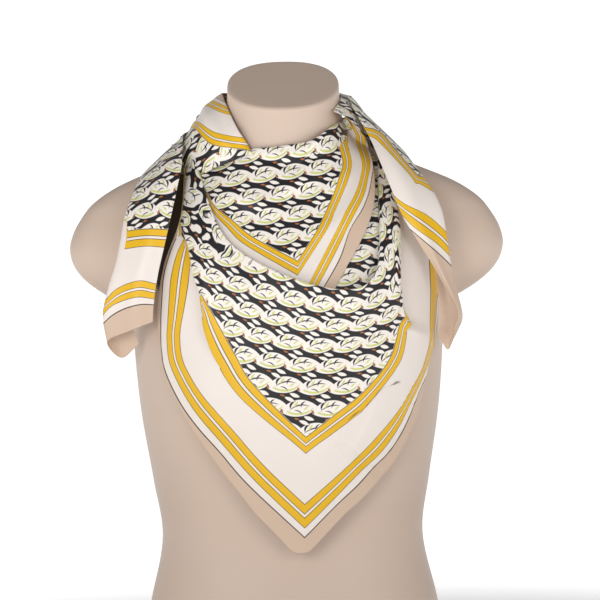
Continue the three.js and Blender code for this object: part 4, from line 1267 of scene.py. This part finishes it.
end_left_surface = lay_over(end_surface(END_LEFT, 2, 1.8, 5, 121, 150),
                            [drape_points, collar_left_surface, tuck_points, inner_surface], 0.9)
end_right_surface = lay_over(end_surface(END_RIGHT, 2, 1.8, 6, 121, 160),
                             [drape_points, collar_right_surface, tuck_points], 0.9)
end_left = cloth_piece("end_left_silk", "end_left", end_left_surface,
                       end_flat(end_left_surface, END_LEFT_LINES, 61, LEFT_CREASE))
end_right = cloth_piece("end_right_silk", "end_right", end_right_surface,
                        end_flat(end_right_surface, END_RIGHT_LINES, 61))

# %% [markdown]
# ## Floor and light
# A plain pale floor and large soft lights, as in a product picture: one from the upper left,
# a weaker one from the right, and a bright surround.


# %% Floor, lights and surround
def build_stage():
    rings, sides = [0.0, 0.5, 1.0, 2.0, 5.0, 20.0, 100.0, 900.0], 48
    corners, faces = [(0.0, 0.0, 0.0)], []
    for reach in rings[1:]:
        corners += [(reach * math.cos(2 * math.pi * k / sides), reach * math.sin(2 * math.pi * k / sides), 0)
                    for k in range(sides)]
    for k in range(sides):
        faces.append((0, 1 + k, 1 + (k + 1) % sides))
        for ring in range(len(rings) - 2):
            a, b = 1 + ring * sides + k, 1 + ring * sides + (k + 1) % sides
            faces.append((a, a + sides, b + sides, b))
    mesh = bpy.data.meshes.new("pale_floor")
    mesh.from_pydata(corners, [], faces)
    floor = bpy.data.objects.new("pale_floor", mesh)
    bpy.context.scene.collection.objects.link(floor)
    paper = bpy.data.materials.new("pale_paper")
    paper.use_nodes = True
    tree = paper.node_tree
    shader = tree.nodes["Principled BSDF"]
    shader.inputs["Base Color"].default_value = (0.9, 0.9, 0.9, 1)
    shader.inputs["Roughness"].default_value = 0.9
    shader.inputs["Emission Color"].default_value = (1, 1, 1, 1)
    place = tree.nodes.new("ShaderNodeTexCoord")
    reach = tree.nodes.new("ShaderNodeVectorMath")
    reach.operation = "LENGTH"
    glow = tree.nodes.new("ShaderNodeMapRange")
    glow.interpolation_type = "SMOOTHSTEP"
    for socket, value in zip(list(glow.inputs)[1:5], (0.5, 1.2, 0.0, 0.9)):
        socket.default_value = value
    tree.links.new(place.outputs["Object"], reach.inputs[0])
    tree.links.new(reach.outputs["Value"], glow.inputs[0])
    tree.links.new(glow.outputs[0], shader.inputs["Emission Strength"])
    floor.data.materials.append(paper)

    world = bpy.data.worlds.new("studio_surround")
    world.use_nodes = True
    tree = world.node_tree
    way = tree.nodes.new("ShaderNodeTexCoord")
    split = tree.nodes.new("ShaderNodeSeparateXYZ")
    fade = tree.nodes.new("ShaderNodeMapRange")
    fade.interpolation_type = "SMOOTHSTEP"
    for socket, value in zip(list(fade.inputs)[1:5], (0.03, 0.2, 1.1, 0.3)):
        socket.default_value = value
    tree.links.new(way.outputs["Generated"], split.inputs[0])
    tree.links.new(split.outputs[2], fade.inputs[0])
    tree.links.new(fade.outputs[0], tree.nodes["Background"].inputs[1])
    tree.nodes["Background"].inputs[0].default_value = (1, 1, 1, 1)
    bpy.context.scene.world = world


def soft_light(name, place, power, size):
    light = bpy.data.lights.new(name, "AREA")
    light.shape = "DISK"
    light.size = size
    light.energy = power
    holder = bpy.data.objects.new(name, light)
    aim = Vector((0, 0, 0.42)) - Vector(place)
    holder.matrix_world = Matrix.Translation(place) @ aim.to_track_quat("-Z", "Y").to_matrix().to_4x4()
    bpy.context.scene.collection.objects.link(holder)


build_stage()
soft_light("key_light", (-1.1, -2.4, 1.1), 23, 1.2)
soft_light("fill_light", (1.4, -2.2, 1.0), 12, 1.2)
bpy.context.scene.view_settings.view_transform = "Standard"
